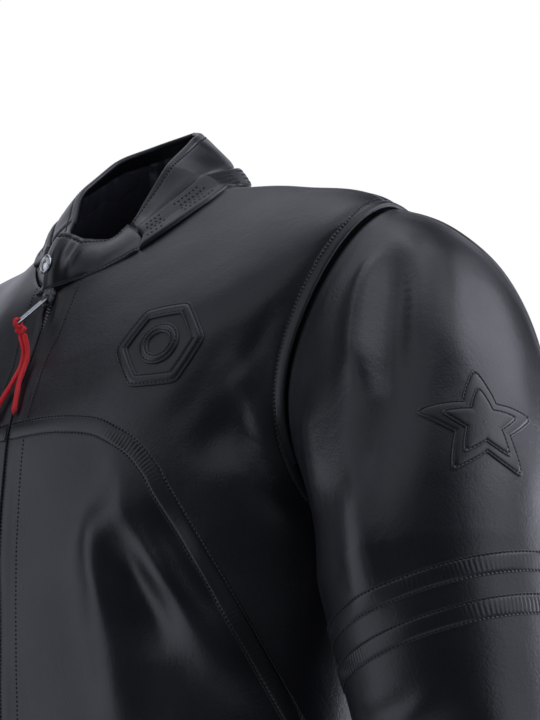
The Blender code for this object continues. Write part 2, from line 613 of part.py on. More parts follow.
def addWelts(tree):
    """Raised roll beside the armhole seam, on the body, from under the front to under the back."""
    beta = np.linspace(-weltSpan, weltSpan, 39)
    loop = bodyForm(armholeTurn(beta), armholeLevel(beta))
    normal = normalsOf(bodyForm, armholeTurn(beta), armholeLevel(beta), 0.5, 0.003)
    tangent = unit(np.gradient(loop, axis=0))
    side = unit(np.cross(normal, tangent))
    side *= np.sign(np.sum(side * (loop - loop.mean(0)), -1, keepdims=True))
    half = weltWidth / 2
    across = np.array((-half, -0.45 * half, 0.45 * half, half))[None] + half \
        + (weltClear + weltEndClear * smooth((np.abs(beta) - 1.3) / 0.7))[:, None]
    crown = np.array((0.25, 1.0, 1.0, 0.25)) * weltHeight
    ends = 0.35 + 0.65 * smooth((weltSpan - np.abs(beta)) / math.radians(30))
    points = loop[:, None] + side[:, None] * across[..., None]
    normals = np.repeat(normal[:, None], len(crown), 1)
    under = settle(tree, points, normals)
    over = under + normals * (crown[None] * ends[:, None])[..., None]
    wallBetween("armhole_welt_left", over, under, "leather")
    wallBetween("armhole_welt_right", mirrored(over), mirrored(under), "leather")


def surfaceFrame(surface, middle, steps):
    """Point, outward normal, sideways and upward directions at a place on a surface."""
    a, b = (np.array(float(v)) for v in middle)
    point, normal = surface(a, b), normalsOf(surface, a, b, *steps)
    up = unit(np.array((0.0, 0.0, 1.0)) - normal * normal[2])
    return point, normal, unit(np.cross(up, normal)), up


def outlineRing(name, tree, frame, outline, width, height):
    """Strip of even width along a closed outline, laid on a panel."""
    point, normal, side, up = frame
    spot = point + outline[:, :1] * side + outline[:, 1:] * up
    tangent = unit(np.roll(spot, -1, 0) - np.roll(spot, 1, 0))
    across = unit(np.cross(normal, tangent))
    points = spot[:, None] + across[:, None] * np.array((-width / 2, 0, width / 2))[None, :, None]
    normals = np.broadcast_to(normal, points.shape)
    under = settle(tree, points, normals, ring=True)
    wallBetween(name, under + normals * height, under, "leather", ring=True)


def polygonOutline(radius, corners, perSide, rounding):
    """Closed outline of a regular polygon whose corners are rounded towards its circle."""
    angle = np.linspace(0, 2 * math.pi, corners * perSide, endpoint=False)
    sector = np.mod(angle, 2 * math.pi / corners) - math.pi / corners
    reach = radius * ((1 - rounding) * math.cos(math.pi / corners) / np.cos(sector) + rounding)
    return np.stack([reach * np.cos(angle), reach * np.sin(angle)], 1)


def starOutline(radius, inner, count):
    """Five-pointed star as distance from its middle against angle, points slightly blunt."""
    angle = np.linspace(0, 2 * math.pi, count, endpoint=False)
    wave = np.abs(np.mod((angle - math.pi / 2) * 5 / (2 * math.pi), 1) * 2 - 1)
    edge = inner / (inner + (1 - inner) * (1 - wave) ** 1.0 + 1e-9)
    reach = radius * np.clip(edge, inner, 0.94)
    return np.stack([reach * np.cos(angle), reach * np.sin(angle)], 1)


def addChestBadge(tree):
    frame = surfaceFrame(bodySurface, nutMiddle, (0.5, 0.003))
    outlineRing("chest_badge_nut", tree, frame, polygonOutline(nutRadius, 6, 4, 0.10), nutStrip, bandThick)
    circle = polygonOutline(washerRadius, 20, 1, 1.0)
    outlineRing("chest_badge_washer", tree, frame, circle, washerStrip, bandThick)


def addSleeveBadge(tree):
    """Star in two layers on the left upper arm."""
    beta, along = starMiddle
    point, normal, side, up = surfaceFrame(sleeveSurface, (math.radians(beta), along), (0.01, 0.003))
    outline = starOutline(starRadius, starInner, 20)
    for layer, (size, thick) in starLayers.items():
        rings = np.linspace(0.16, 1, 4)
        flat = outline[:, None] * size * rings[None, :, None]
        points = point + flat[..., :1] * side + flat[..., 1:] * up
        normals = np.broadcast_to(normal, points.shape)
        under = settle(tree, points, normals, ring=True)
        over = under + normals * thick
        count, columns = over.shape[:2]
        both = np.concatenate([over.reshape(-1, 3), under.reshape(-1, 3)])
        at = lambda i, j, face: face * count * columns + (i % count) * columns + j
        faces = [tuple(at(i, 0, 0) for i in range(count)), tuple(at(i, 0, 1) for i in reversed(range(count)))]
        for i in range(count):
            for j in range(columns - 1):
                for side in (0, 1):
                    faces += twoTriangles(both, at(i, j, side), at(i, j + 1, side), at(i + 1, j + 1, side),
                                          at(i + 1, j, side))
            rim = columns - 1
            faces += twoTriangles(both, at(i, rim, 0), at(i, rim, 1), at(i + 1, rim, 1), at(i + 1, rim, 0))
        tree = treeOf([makeObject("sleeve_badge_" + layer, both, faces, "leather")])


# ---- zip --------------------------------------------------------------------------------------
def zipGrid(halfWidth, depth, thick, last=1.0):
    along = panelLevels()
    along = np.append(along[along < last], last)
    x = np.array((-halfWidth, 0.0, halfWidth))
    turns = turnAt(x[None], along[:, None])
    levels = np.repeat(along[:, None], 3, 1)
    surface = bodySurface(turns, levels)
    normal = normalsOf(bodySurface, 0 * levels, levels, 1.0, 0.003) * (0, 1, 1)
    outer = surface - unit(normal) * depth
    return outer, outer - unit(normal) * thick


def zipFrame():
    """Middle of the slider on the jacket's front, its outward normal and the way down the zip."""
    point = bodySurface(0.0, sliderAlong)
    normal = unit(normalsOf(bodySurface, np.array(0.0), np.array(sliderAlong), 1.0, 0.003) * (0, 1, 1))
    down = np.cross(normal, (1.0, 0.0, 0.0))
    return point, normal, down * (-1 if down[2] > 0 else 1)


def addZip():
    depth = wall + 0.0004
    outer, inner = zipGrid(tapeHalf, depth, tapeThick)
    wallBetween("zip_tape", outer, inner, "tape")
    outer, inner = zipGrid(chainHalf, chainTop, depth - chainTop - 0.0003, sliderAlong)
    wallBetween("zip_chain", outer, inner, "steel")


def extruded(name, outline, frame, low, high):
    """Prism of an outline: frame gives its origin, the outline's two directions and the way out."""
    origin, across, along, out = frame
    rims = [[origin + across * a + along * b + out * level for a, b in outline] for level in (low, high)]
    count = len(outline)
    faces = [tuple(range(count)), tuple(count + k for k in reversed(range(count)))]
    faces += [(k, count + k, count + (k + 1) % count, (k + 1) % count) for k in range(count)]
    return makeObject(name, rims[0] + rims[1], faces, "steel")


def guide(made):
    made.hide_render = True
    made.display_type = "WIRE"
    return made


def join(base, piece):
    union = base.modifiers.new(piece.name, "BOOLEAN")
    union.operation, union.object = "UNION", guide(piece)


def bevelled(made, width, segments=1):
    edge = made.modifiers.new("edge", "BEVEL")
    edge.width, edge.segments, edge.limit_method = width, segments, "ANGLE"


def addSlider():
    """Tapered slider body with the arch that carries the pull."""
    point, normal, down = zipFrame()
    side = np.array((1.0, 0.0, 0.0))
    outline = list(sliderOutline) + [(-a, b) for a, b in reversed(sliderOutline)]
    face = sliderLift + sliderThick
    slider = extruded("zip_slider", outline, (point, side, down, normal), sliderLift, face)
    foot, top = face - 0.0006, face + archInside
    legs = archHalf + archThick
    arch = [(-legs, foot), (-legs, top + 0.3 * archThick), (-archHalf, top + archThick),
            (archHalf, top + archThick), (legs, top + 0.3 * archThick), (legs, foot),
            (archHalf, foot), (archHalf, top), (-archHalf, top), (-archHalf, foot)]
    spot = point + down * archDrop
    join(slider, extruded("slider_arch", arch, (spot, down, normal, side), -archWidth / 2, archWidth / 2))
    bevelled(slider, 0.00025)


def pullFrame():
    """The pull's pivot inside the arch, the way that it points, and its underside's direction."""
    point, normal, down = zipFrame()
    lean = math.radians(pullLean)
    way = np.array((0.0, -math.sin(lean), -math.cos(lean)))
    pivot = point + down * archDrop + normal * (sliderLift + sliderThick + archInside / 2)
    return pivot, way, np.cross((1.0, 0.0, 0.0), way)


def placeAtPivot(made, pivot):
    """Put a moving piece's origin on its hinge."""
    made.data.transform(Matrix.Translation(-Vector(pivot)))
    made.location = pivot


def addPull():
    """Flat bar with a window at its upper end for the arch and a slot at its lower end."""
    pivot, way, under = pullFrame()
    side = np.array((1.0, 0.0, 0.0))
    bar = pullThick / 2
    frame = (pivot, side, way, under)
    outline = [(-pullHalf, -bar), (pullHalf, -bar), (pullHalf, pullLength), (-pullHalf, pullLength)]
    pull = extruded("zip_pull", outline, frame, -bar, bar)
    windows = {"window": (pullHalf - 0.0011, bar, pullWindow),
               "eye": (eyeHalf, pullLength - eyeStart, pullLength - eyeEnd)}
    for name, (half, first, last) in windows.items():
        hole = [(-half, first), (half, first), (half, last), (-half, last)]
        cutter = guide(extruded("pull_" + name, hole, frame, -0.002, 0.002))
        cut = pull.modifiers.new(name, "BOOLEAN")
        cut.operation, cut.object = "DIFFERENCE", cutter
    bevelled(pull, 0.0002)
    placeAtPivot(pull, pivot)


def addKnot():
    """Loop of cord through the slot, around the bar's end, closed by a knot under it."""
    pivot, way, under = pullFrame()
    bar = pivot + way * (pullLength - eyeEnd / 2)
    turns = np.linspace(0, 2 * math.pi, 16, endpoint=False)
    sides = np.linspace(0, 2 * math.pi, 8, endpoint=False)
    side = np.array((1.0, 0.0, 0.0))
    points, faces = [], []
    for turn in turns:
        radial = way * math.cos(turn) + under * math.sin(turn)
        for angle in sides:
            rim = radial * math.cos(angle) + side * math.sin(angle)
            points.append(bar + radial * loopRadius + rim * loopThick / 2)
    for i in range(16):
        for k in range(8):
            ahead, around = (i + 1) % 16, (k + 1) % 8
            faces.append((i * 8 + k, i * 8 + around, ahead * 8 + around, ahead * 8 + k))
    loop = makeObject("pull_knot", points, faces, "red cord")
    bm = bmesh.new()
    bmesh.ops.create_uvsphere(bm, u_segments=12, v_segments=8, radius=1.0)
    bm.verts.index_update()
    spot = bar + under * knotDrop
    ball = [spot + np.array(v.co) * (knotWide, knotHalf, knotHalf) for v in bm.verts]
    faces = [tuple(v.index for v in face.verts) for face in bm.faces]
    bm.free()
    join(loop, makeObject("knot_ball", ball, faces, "red cord"))
    placeAtPivot(loop, pivot)


def addCord(side, route):
    """One end of the cord: a tube along a smooth curve through its route."""
    pivot = pullFrame()[0]
    route = np.asarray(route)
    lengths = np.append(0, np.cumsum(np.linalg.norm(np.diff(route, axis=0), axis=1)))
    count = int(lengths[-1] / (2.2 * cordDiameter)) + 1
    path = smoothLine(route, count)
    curve = bpy.data.curves.new("pull_cord_" + side, "CURVE")
    curve.dimensions = "3D"
    curve.bevel_depth, curve.bevel_resolution, curve.use_fill_caps = cordDiameter / 2, 2, True
    spline = curve.splines.new("POLY")
    spline.points.add(len(path) - 1)
    for point, place in zip(spline.points, path - pivot):
        point.co = (*place, 1)
    curve.materials.append(material("red cord"))
    cord = bpy.data.objects.new("pull_cord_" + side, curve)
    cord.location = pivot
    bpy.context.scene.collection.objects.link(cord)


for old in list(bpy.data.objects):
    bpy.data.objects.remove(old)
bodyPanels = addBody()
sleevePanels = addSleeves()
bodyTree, sleeveTree = treeOf(bodyPanels), treeOf(sleevePanels)
addCollar()
addSnap()
addChestBands(bodyTree)
addArmBands(sleeveTree)
addWelts(bodyTree)
addChestBadge(bodyTree)
addSleeveBadge(sleeveTree)
addZip()
addSlider()
addPull()
addKnot()
for cordSide, cordRoute in cordRoutes.items():
    addCord(cordSide, cordRoute)
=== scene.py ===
import math

import bpy
import numpy as np
from mathutils import Matrix, Vector


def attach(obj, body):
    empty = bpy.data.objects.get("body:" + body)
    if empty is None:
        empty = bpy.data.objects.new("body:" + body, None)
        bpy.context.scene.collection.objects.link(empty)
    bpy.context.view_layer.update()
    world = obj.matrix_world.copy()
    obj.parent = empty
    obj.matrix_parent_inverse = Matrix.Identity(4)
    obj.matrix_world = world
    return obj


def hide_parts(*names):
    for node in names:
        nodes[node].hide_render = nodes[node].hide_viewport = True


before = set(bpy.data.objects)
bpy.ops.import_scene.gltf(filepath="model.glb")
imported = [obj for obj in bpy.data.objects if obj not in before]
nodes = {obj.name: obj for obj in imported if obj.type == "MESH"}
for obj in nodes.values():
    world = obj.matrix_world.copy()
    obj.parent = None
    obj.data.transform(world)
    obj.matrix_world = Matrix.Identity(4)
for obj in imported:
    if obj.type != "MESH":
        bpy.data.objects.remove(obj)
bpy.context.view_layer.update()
mm = 0.001
noRow = 50.0           # distance in mm that stands for "no stitch row here"
print("frame loaded:", len(nodes), "nodes")

# the photograph's camera: a long lens, a little below the collar
shot = {"azimuth": 41.285, "elevation": -14.57, "distance": 2.4108, "lens": 191.8,
        "lookAt": (0.16525, -0.05, -0.14408)}


def awayFrom(azimuth, elevation):
    a, e = math.radians(azimuth), math.radians(elevation)
    return Vector((math.sin(a) * math.cos(e), -math.cos(a) * math.cos(e), math.sin(e)))


def putLooking(name, data, spot, target):
    made = bpy.data.objects.new(name, data)
    bpy.context.scene.collection.objects.link(made)
    made.location = spot
    made.rotation_euler = (Vector(target) - Vector(spot)).to_track_quat("-Z", "Y").to_euler()
    return made


lens = bpy.data.cameras.new("camera")
lens.lens, lens.sensor_width, lens.clip_start, lens.clip_end = shot["lens"], 36, 0.05, 60
away = awayFrom(shot["azimuth"], shot["elevation"]) * shot["distance"]
bpy.context.scene.camera = putLooking("camera", lens, Vector(shot["lookAt"]) + away, shot["lookAt"])

# cords: listed routes from the knot down the chest, the same as in the solids
cord = {"diameter": 0.0032, "points": 34, "flatten": 0.95, "plump": 1.06}
cordRoutes = {
    "right": ((0.0018, -0.1050, -0.1089), (0.0018, -0.1031, -0.1143), (0.0018, -0.1018, -0.1190),
              (0.0018, -0.1020, -0.1243), (0.0018, -0.1043, -0.1313), (0.0018, -0.1076, -0.1385),
              (0.0023, -0.1102, -0.1456), (0.0031, -0.1125, -0.1528), (0.0034, -0.1143, -0.1600),
              (0.0032, -0.1153, -0.1650)),
    "left": ((-0.0018, -0.1050, -0.1089), (-0.0018, -0.1031, -0.1143), (-0.0018, -0.1018, -0.1190),
             (-0.0018, -0.1020, -0.1243), (-0.0020, -0.1043, -0.1313), (-0.0030, -0.1076, -0.1380),
             (-0.0052, -0.1100, -0.1440), (-0.0082, -0.1120, -0.1500), (-0.0112, -0.1139, -0.1560),
             (-0.0140, -0.1156, -0.1622), (-0.0160, -0.1170, -0.1680)),
}


def unit(v):
    return v / np.maximum(np.linalg.norm(v, axis=-1, keepdims=True), 1e-12)


def smooth(t):
    t = np.clip(t, 0, 1)
    return t * t * (3 - 2 * t)


def hump(distance, width):
    return np.exp(-(np.asarray(distance) / width) ** 2)


def smoothLine(points, count):
    points = np.asarray(points, float)
    padded = np.vstack([2 * points[0] - points[1], points, 2 * points[-1] - points[-2]])
    at = np.linspace(0, len(points) - 1, count)
    k = np.clip(at.astype(int), 0, len(points) - 2)
    t = (at - k)[:, None]
    p0, p1, p2, p3 = padded[k], padded[k + 1], padded[k + 2], padded[k + 3]
    return 0.5 * (2 * p1 + (p2 - p0) * t + (2 * p0 - 5 * p1 + 4 * p2 - p3) * t ** 2
                  + (3 * p1 - p0 - 3 * p2 + p3) * t ** 3)


def lengthsAlong(line):
    return np.append(0, np.cumsum(np.linalg.norm(np.diff(line, axis=0), axis=-1)))


# Node helpers: a value is a socket to link or a plain setting.
def feed(tree, socket, value):
    if isinstance(value, bpy.types.NodeSocket):
        tree.links.new(value, socket)
    else:
        socket.default_value = value


def addNode(tree, kind, inputs=None, **settings):
    node = tree.nodes.new(kind)
    for name, value in settings.items():
        setattr(node, name, value)
    for name, value in (inputs or {}).items():
        feed(tree, node.inputs[name], value)
    return node


def calc(tree, operation, *values):
    return addNode(tree, "ShaderNodeMath", dict(enumerate(values)), operation=operation).outputs[0]


def newGroup(name, kind, ins, outs):
    tree = bpy.data.node_groups.new(name, kind)
    for socketName, socketType, value in ins:
        socket = tree.interface.new_socket(socketName, in_out="INPUT", socket_type=socketType)
        if value is not None:
            socket.default_value = value
    for socketName, socketType in outs:
        tree.interface.new_socket(socketName, in_out="OUTPUT", socket_type=socketType)
    start, end = tree.nodes.new("NodeGroupInput"), tree.nodes.new("NodeGroupOutput")
    return tree, start.outputs, end.inputs


# Fine leather grain: pebbles of about the given size, crossed by finer pores.
def makeGrainGroup():
    tree, given, result = newGroup(
        "leather grain", "ShaderNodeTree",
        [("Pebble", "NodeSocketFloat", 1.1), ("Pore Share", "NodeSocketFloat", 0.35)],
        [("Height", "NodeSocketFloat"), ("Tone", "NodeSocketFloat")])
    place = addNode(tree, "ShaderNodeTexCoord").outputs["Object"]
    scale = calc(tree, "DIVIDE", 1000, given["Pebble"])
    bend = addNode(tree, "ShaderNodeTexNoise", {"Vector": place, "Scale": 420.0,
                                                "Detail": 2.0}).outputs["Color"]
    shift = addNode(tree, "ShaderNodeVectorMath", {0: bend, 1: (0.0009,) * 3},
                    operation="MULTIPLY").outputs[0]
    moved = addNode(tree, "ShaderNodeVectorMath", {0: place, 1: shift}, operation="ADD").outputs[0]
    cells = addNode(tree, "ShaderNodeTexVoronoi", {"Vector": moved, "Scale": scale, "Randomness": 0.9},
                    feature="SMOOTH_F1").outputs["Distance"]
    pebble = calc(tree, "SUBTRACT", 1, calc(tree, "MULTIPLY", cells, cells))
    fine = addNode(tree, "ShaderNodeTexNoise", {"Vector": place, "Scale": calc(tree, "MULTIPLY", scale, 2.6),
                                                "Detail": 3.0, "Roughness": 0.6}).outputs["Fac"]
    keep = calc(tree, "SUBTRACT", 1, given["Pore Share"])
    feed(tree, result["Height"], calc(tree, "ADD", calc(tree, "MULTIPLY", pebble, keep),
                                      calc(tree, "MULTIPLY", fine, given["Pore Share"])))
    feed(tree, result["Tone"], pebble)
    return tree


# Broad unevenness of a worn hide: soft swells and a few stretched wrinkles.
def makeHideGroup():
    tree, given, result = newGroup(
        "hide unevenness", "ShaderNodeTree", [("Swell", "NodeSocketFloat", 55.0)],
        [("Height", "NodeSocketFloat"), ("Patch", "NodeSocketFloat")])
    place = addNode(tree, "ShaderNodeTexCoord").outputs["Object"]
    swell = addNode(tree, "ShaderNodeTexNoise", {"Vector": place, "Scale": given["Swell"], "Detail": 2.0,
                                                 "Distortion": 0.4}).outputs["Fac"]
    stretch = addNode(tree, "ShaderNodeMapping", {"Vector": place, "Rotation": (0.3, 0.2, 0.5),
                                                  "Scale": (1.0, 1.0, 0.28)}).outputs[0]
    finer = calc(tree, "MULTIPLY", given["Swell"], 3.4)
    wrinkle = addNode(tree, "ShaderNodeTexNoise", {"Vector": stretch, "Scale": finer,
                                                   "Detail": 2.0, "Roughness": 0.45}).outputs["Fac"]
    feed(tree, result["Height"], calc(tree, "ADD", swell, calc(tree, "MULTIPLY", wrinkle, 0.16)))
    patch = addNode(tree, "ShaderNodeTexNoise", {"Vector": place, "Scale": 14.0, "Detail": 3.0}).outputs["Fac"]
    feed(tree, result["Patch"], patch)
    return tree


# The dent that a row of stitches draws into leather, with a needle hole between stitches; the hole's mask is also
# put out as painted shade for the leather's colour.
def makePressGroup():
    tree, given, result = newGroup(
        "stitch press", "ShaderNodeTree",
        [("Away", "NodeSocketFloat", noRow), ("Run", "NodeSocketFloat", 0.0), ("Pitch", "NodeSocketFloat", 2.8)],
        [("Height", "NodeSocketFloat"), ("Hole Shade", "NodeSocketFloat")])
    square = calc(tree, "MULTIPLY", given["Away"], given["Away"])
    groove = calc(tree, "EXPONENT", calc(tree, "MULTIPLY", square, -0.9))
    share = calc(tree, "FRACT", calc(tree, "DIVIDE", given["Run"], given["Pitch"]))
    near = calc(tree, "MULTIPLY", calc(tree, "ABSOLUTE", calc(tree, "SUBTRACT", share, 0.5)), given["Pitch"])
    fromHole = calc(tree, "ADD", square, calc(tree, "MULTIPLY", near, near))
    hole = calc(tree, "EXPONENT", calc(tree, "MULTIPLY", fromHole, -2.6))
    feed(tree, result["Height"], calc(tree, "MULTIPLY", calc(tree, "ADD", groove, hole), -1))
    feed(tree, result["Hole Shade"], hole)
    return tree


grainGroup, hideGroup, pressGroup = makeGrainGroup(), makeHideGroup(), makePressGroup()


def newMaterial(name):
    made = bpy.data.materials.new(name)
    made.use_nodes = True
    tree = made.node_tree
    return made, tree, tree.nodes["Principled BSDF"]


def useGroup(tree, group, values):
    node = addNode(tree, "ShaderNodeGroup", node_tree=group)
    for name, value in values.items():
        feed(tree, node.inputs[name], value)
    return node.outputs


# One leather, with its own values for each piece's finish.
def makeLeather(name, colour, roughness, pebble=1.5, grainDepth=0.11, swellDepth=0.30, rows=True):
    made, tree, shader = newMaterial(name)
    grain = useGroup(tree, grainGroup, {"Pebble": pebble})
    hide = useGroup(tree, hideGroup, {"Swell": 55.0})
    patch = addNode(tree, "ShaderNodeMapRange", {"Value": hide["Patch"], "From Min": 0.35, "From Max": 0.65,
                                                 "To Min": -0.04, "To Max": 0.05}).outputs[0]
    feed(tree, shader.inputs["Roughness"], calc(tree, "ADD", roughness, patch))
    tone = addNode(tree, "ShaderNodeMapRange", {"Value": grain["Tone"], "From Min": 0.3, "From Max": 1.0,
                                                "To Min": 0.55, "To Max": 1.05}).outputs[0]
    base = addNode(tree, "ShaderNodeMix", {"Factor": 1.0}, data_type="RGBA", blend_type="MULTIPLY")
    base.inputs[6].default_value = (*colour, 1)
    feed(tree, base.inputs[7], tone)
    colourOut = base.outputs[2]
    normal = addNode(tree, "ShaderNodeBump", {"Height": hide["Height"], "Strength": 1.0,
                                              "Distance": swellDepth * mm}).outputs[0]
    if rows:
        away = addNode(tree, "ShaderNodeAttribute", attribute_name="rowsAway").outputs["Vector"]
        run = addNode(tree, "ShaderNodeAttribute", attribute_name="rowsRun").outputs["Vector"]
        awayParts = addNode(tree, "ShaderNodeSeparateXYZ", {0: away}).outputs
        runParts = addNode(tree, "ShaderNodeSeparateXYZ", {0: run}).outputs
        presses = [useGroup(tree, pressGroup, {"Away": awayParts[k], "Run": runParts[k]}) for k in range(3)]
        height, hole = presses[0]["Height"], presses[0]["Hole Shade"]
        for press in presses[1:]:
            height = calc(tree, "ADD", height, press["Height"])
            hole = calc(tree, "MAXIMUM", hole, press["Hole Shade"])
        normal = addNode(tree, "ShaderNodeBump", {"Height": height, "Strength": 1.0, "Distance": 0.22 * mm,
                                                  "Normal": normal}).outputs[0]
        # painted shade: each needle hole is darkened in the leather's colour
        needleHoleShade = addNode(tree, "ShaderNodeMix", data_type="RGBA")
        feed(tree, needleHoleShade.inputs[0], hole)
        feed(tree, needleHoleShade.inputs[6], colourOut)
        needleHoleShade.inputs[7].default_value = (0.001, 0.001, 0.0012, 1)
        colourOut = needleHoleShade.outputs[2]
    normal = addNode(tree, "ShaderNodeBump", {"Height": grain["Height"], "Strength": 1.0,
                                              "Distance": grainDepth * mm, "Normal": normal}).outputs[0]
    feed(tree, shader.inputs["Base Color"], colourOut)
    feed(tree, shader.inputs["Normal"], normal)
    shader.inputs["Specular IOR Level"].default_value = 0.5
    return made


# Woven or braided textile, on the piece's own UV map in metres or else on its place in space.
def makeTextile(name, colour, roughness, across, along, depth, sheen=0.3, coordinates="UV"):
    made, tree, shader = newMaterial(name)
    uv = addNode(tree, "ShaderNodeTexCoord").outputs[coordinates]
    parts = addNode(tree, "ShaderNodeSeparateXYZ", {0: uv}).outputs
    turn = 2 * math.pi * 1000
    slant = calc(tree, "MULTIPLY", parts[1], turn / along)
    first = calc(tree, "SINE", calc(tree, "ADD", calc(tree, "MULTIPLY", parts[0], turn / across), slant))
    second = calc(tree, "SINE", calc(tree, "SUBTRACT", calc(tree, "MULTIPLY", parts[0], turn / across), slant))
    threads = calc(tree, "MULTIPLY", first, second)
    place = addNode(tree, "ShaderNodeTexCoord").outputs["Object"]
    fuzz = addNode(tree, "ShaderNodeTexNoise", {"Vector": place, "Scale": 2600.0, "Detail": 2.0}).outputs["Fac"]
    height = calc(tree, "ADD", threads, calc(tree, "MULTIPLY", fuzz, 0.8))
    shade = addNode(tree, "ShaderNodeMapRange", {"Value": height, "From Min": -0.8, "From Max": 1.5,
                                                 "To Min": 0.55, "To Max": 1.08}).outputs[0]
    base = addNode(tree, "ShaderNodeMix", data_type="RGBA", blend_type="MULTIPLY")
    base.inputs[0].default_value = 1.0
    base.inputs[6].default_value = (*colour, 1)
    feed(tree, base.inputs[7], shade)
    feed(tree, shader.inputs["Base Color"], base.outputs[2])
    bump = addNode(tree, "ShaderNodeBump", {"Height": height, "Strength": 1.0, "Distance": depth * mm})
    feed(tree, shader.inputs["Normal"], bump.outputs[0])
    shader.inputs["Roughness"].default_value = roughness
    shader.inputs["Sheen Weight"].default_value = sheen
    shader.inputs["Sheen Roughness"].default_value = 0.5
    return made


# Plated steel with faint scratches and dulled patches.
def makeSteel(name, colour, roughness):
    made, tree, shader = newMaterial(name)
    place = addNode(tree, "ShaderNodeTexCoord").outputs["Object"]
    stretch = addNode(tree, "ShaderNodeMapping", {"Vector": place, "Scale": (1.0, 1.0, 0.12)}).outputs[0]
    scratch = addNode(tree, "ShaderNodeTexNoise", {"Vector": stretch, "Scale": 3200.0,
                                                   "Detail": 2.0}).outputs["Fac"]
    dull = addNode(tree, "ShaderNodeTexNoise", {"Vector": place, "Scale": 400.0, "Detail": 3.0}).outputs["Fac"]
    rough = addNode(tree, "ShaderNodeMapRange", {"Value": dull, "From Min": 0.35, "From Max": 0.7,
                                                 "To Min": roughness, "To Max": roughness + 0.16}).outputs[0]
    feed(tree, shader.inputs["Roughness"], rough)
    bump = addNode(tree, "ShaderNodeBump", {"Height": scratch, "Strength": 1.0, "Distance": 0.006 * mm})
    feed(tree, shader.inputs["Normal"], bump.outputs[0])
    shader.inputs["Base Color"].default_value = (*colour, 1)
    shader.inputs["Metallic"].default_value = 1.0
    return made


blackLeather = makeLeather("black leather", (0.0070, 0.0072, 0.0112), 0.35, grainDepth=0.15)
trimLeather = makeLeather("trim leather", (0.0068, 0.0070, 0.0108), 0.35, swellDepth=0.15)
# painted light: the lining's base colour is a lighter grey than the jacket's leather, partly its own colour and
# partly standing in for light inside the collar
liningLeather = makeLeather("lining leather", (0.0600, 0.0600, 0.0800), 0.26, pebble=1.4, swellDepth=1.3,
                            rows=False)
liningCloth = makeTextile("lining cloth", (0.0090, 0.0090, 0.0105), 0.55, 0.7, 0.7, 0.04, sheen=0.1)
tapeCloth = makeTextile("zip tape", (0.0100, 0.0100, 0.0120), 0.80, 0.9, 1.1, 0.12)
redCord = makeTextile("red cord", (1.0, 0.016, 0.028), 0.55, 0.8, 1.3, 0.10, sheen=1.0)
redCord.node_tree.nodes["Principled BSDF"].inputs["Sheen Tint"].default_value = (1.0, 0.10, 0.12, 1)
threadBlack = makeTextile("sewing thread", (0.0020, 0.0020, 0.0030), 0.75, 0.3, 0.5, 0.03, 0.1, "Object")
polishedSteel = makeSteel("polished steel", (0.22, 0.23, 0.24), 0.24)
snapSteel = makeSteel("snap steel", (0.56, 0.57, 0.58), 0.22)
darkSteel = makeSteel("darkened steel", (0.16, 0.16, 0.17), 0.30)
# painted shade: near-black colour for the discs that stand in for the inside of each punched hole
perforationShade = makeTextile("punched hole shade", (0.0010, 0.0010, 0.0012), 0.90, 0.6, 0.6, 0.02, 0.0, "Object")
print("materials made")


def linkMesh(name, mesh):
    made = bpy.data.objects.new(name, mesh)
    bpy.context.scene.collection.objects.link(made)
    return made


def storeVectors(mesh, name, values):
    stored = mesh.attributes.new(name, "FLOAT_VECTOR", "POINT")
    stored.data.foreach_set("vector", values.astype(np.float32).ravel())


# Closed wall between two grids of points. Away and run give each stitch row's distance and length in mm.
def wall(name, outer, inner, materials, away=None, run=None, ring=False, uv=None, cap=False):
    rows, columns = outer.shape[:2]
    count = rows * columns
    points = np.concatenate([outer.reshape(-1, 3), inner.reshape(-1, 3)])
    last = rows if ring else rows - 1
    i, j = np.meshgrid(np.arange(last), np.arange(columns - 1), indexing="ij")
    here, ahead = i * columns + j, (i + 1) % rows * columns + j
    quads = np.stack([here, ahead, ahead + 1, here + 1], -1).reshape(-1, 4)
    faceOut = np.cross(points[quads[:, 1]] - points[quads[:, 0]], points[quads[:, 3]] - points[quads[:, 0]])
    outwards = points[quads[:, 0]] - points[quads[:, 0] + count]
    turned = np.sum(faceOut * outwards) < 0
    if turned:
        quads = quads[:, ::-1]
    faces = [quads, quads[:, ::-1] + count]
    rims = []
    edge = [(k * columns, (k + 1) % rows * columns) for k in range(last)]
    rims += edge + [(b + columns - 1, a + columns - 1) for a, b in edge]
    if not ring:
        rims += [(k + 1, k) for k in range(columns - 1)]
        rims += [(count - columns + k, count - columns + k + 1) for k in range(columns - 1)]
    rims = np.array(rims)
    if turned:
        rims = rims[:, ::-1]
    side = np.stack([rims[:, 0], rims[:, 1], rims[:, 1] + count, rims[:, 0] + count], -1)[:, ::-1]
    faces.append(side)
    allFaces = np.concatenate(faces).tolist()
    if cap:
        loop = [k * columns for k in range(rows)]
        if turned:
            loop = loop[::-1]
        allFaces = [f for f in allFaces if not all(v % columns == 0 for v in f)]
        allFaces.append(loop)
        allFaces.append([v + count for v in loop[::-1]])
    mesh = bpy.data.meshes.new(name)
    mesh.from_pydata(points.tolist(), [], allFaces)
    mesh.validate()
    for material in materials:
        mesh.materials.append(material)
    if len(materials) > 1:
        slots = np.zeros(len(mesh.polygons), np.int32)
        slots[len(quads):2 * len(quads)] = 1
        mesh.polygons.foreach_set("material_index", slots)
    shape = (rows, columns, 3)
    for label, values, blank in (("rowsAway", away, noRow), ("rowsRun", run, 0.0)):
        full = np.full(shape, blank) if values is None else np.broadcast_to(values, shape)
        storeVectors(mesh, label, np.concatenate([full.reshape(-1, 3), np.full((count, 3), blank)]))
    if uv is not None:
        layer = mesh.uv_layers.new(name="surface")
        flat = np.concatenate([uv.reshape(-1, 2)] * 2)
        corner = np.empty(len(mesh.loops), np.int32)
        mesh.loops.foreach_get("vertex_index", corner)
        layer.data.foreach_set("uv", flat[corner].astype(np.float32).ravel())
    mesh.shade_smooth()
    mesh.update()
    return linkMesh(name, mesh)


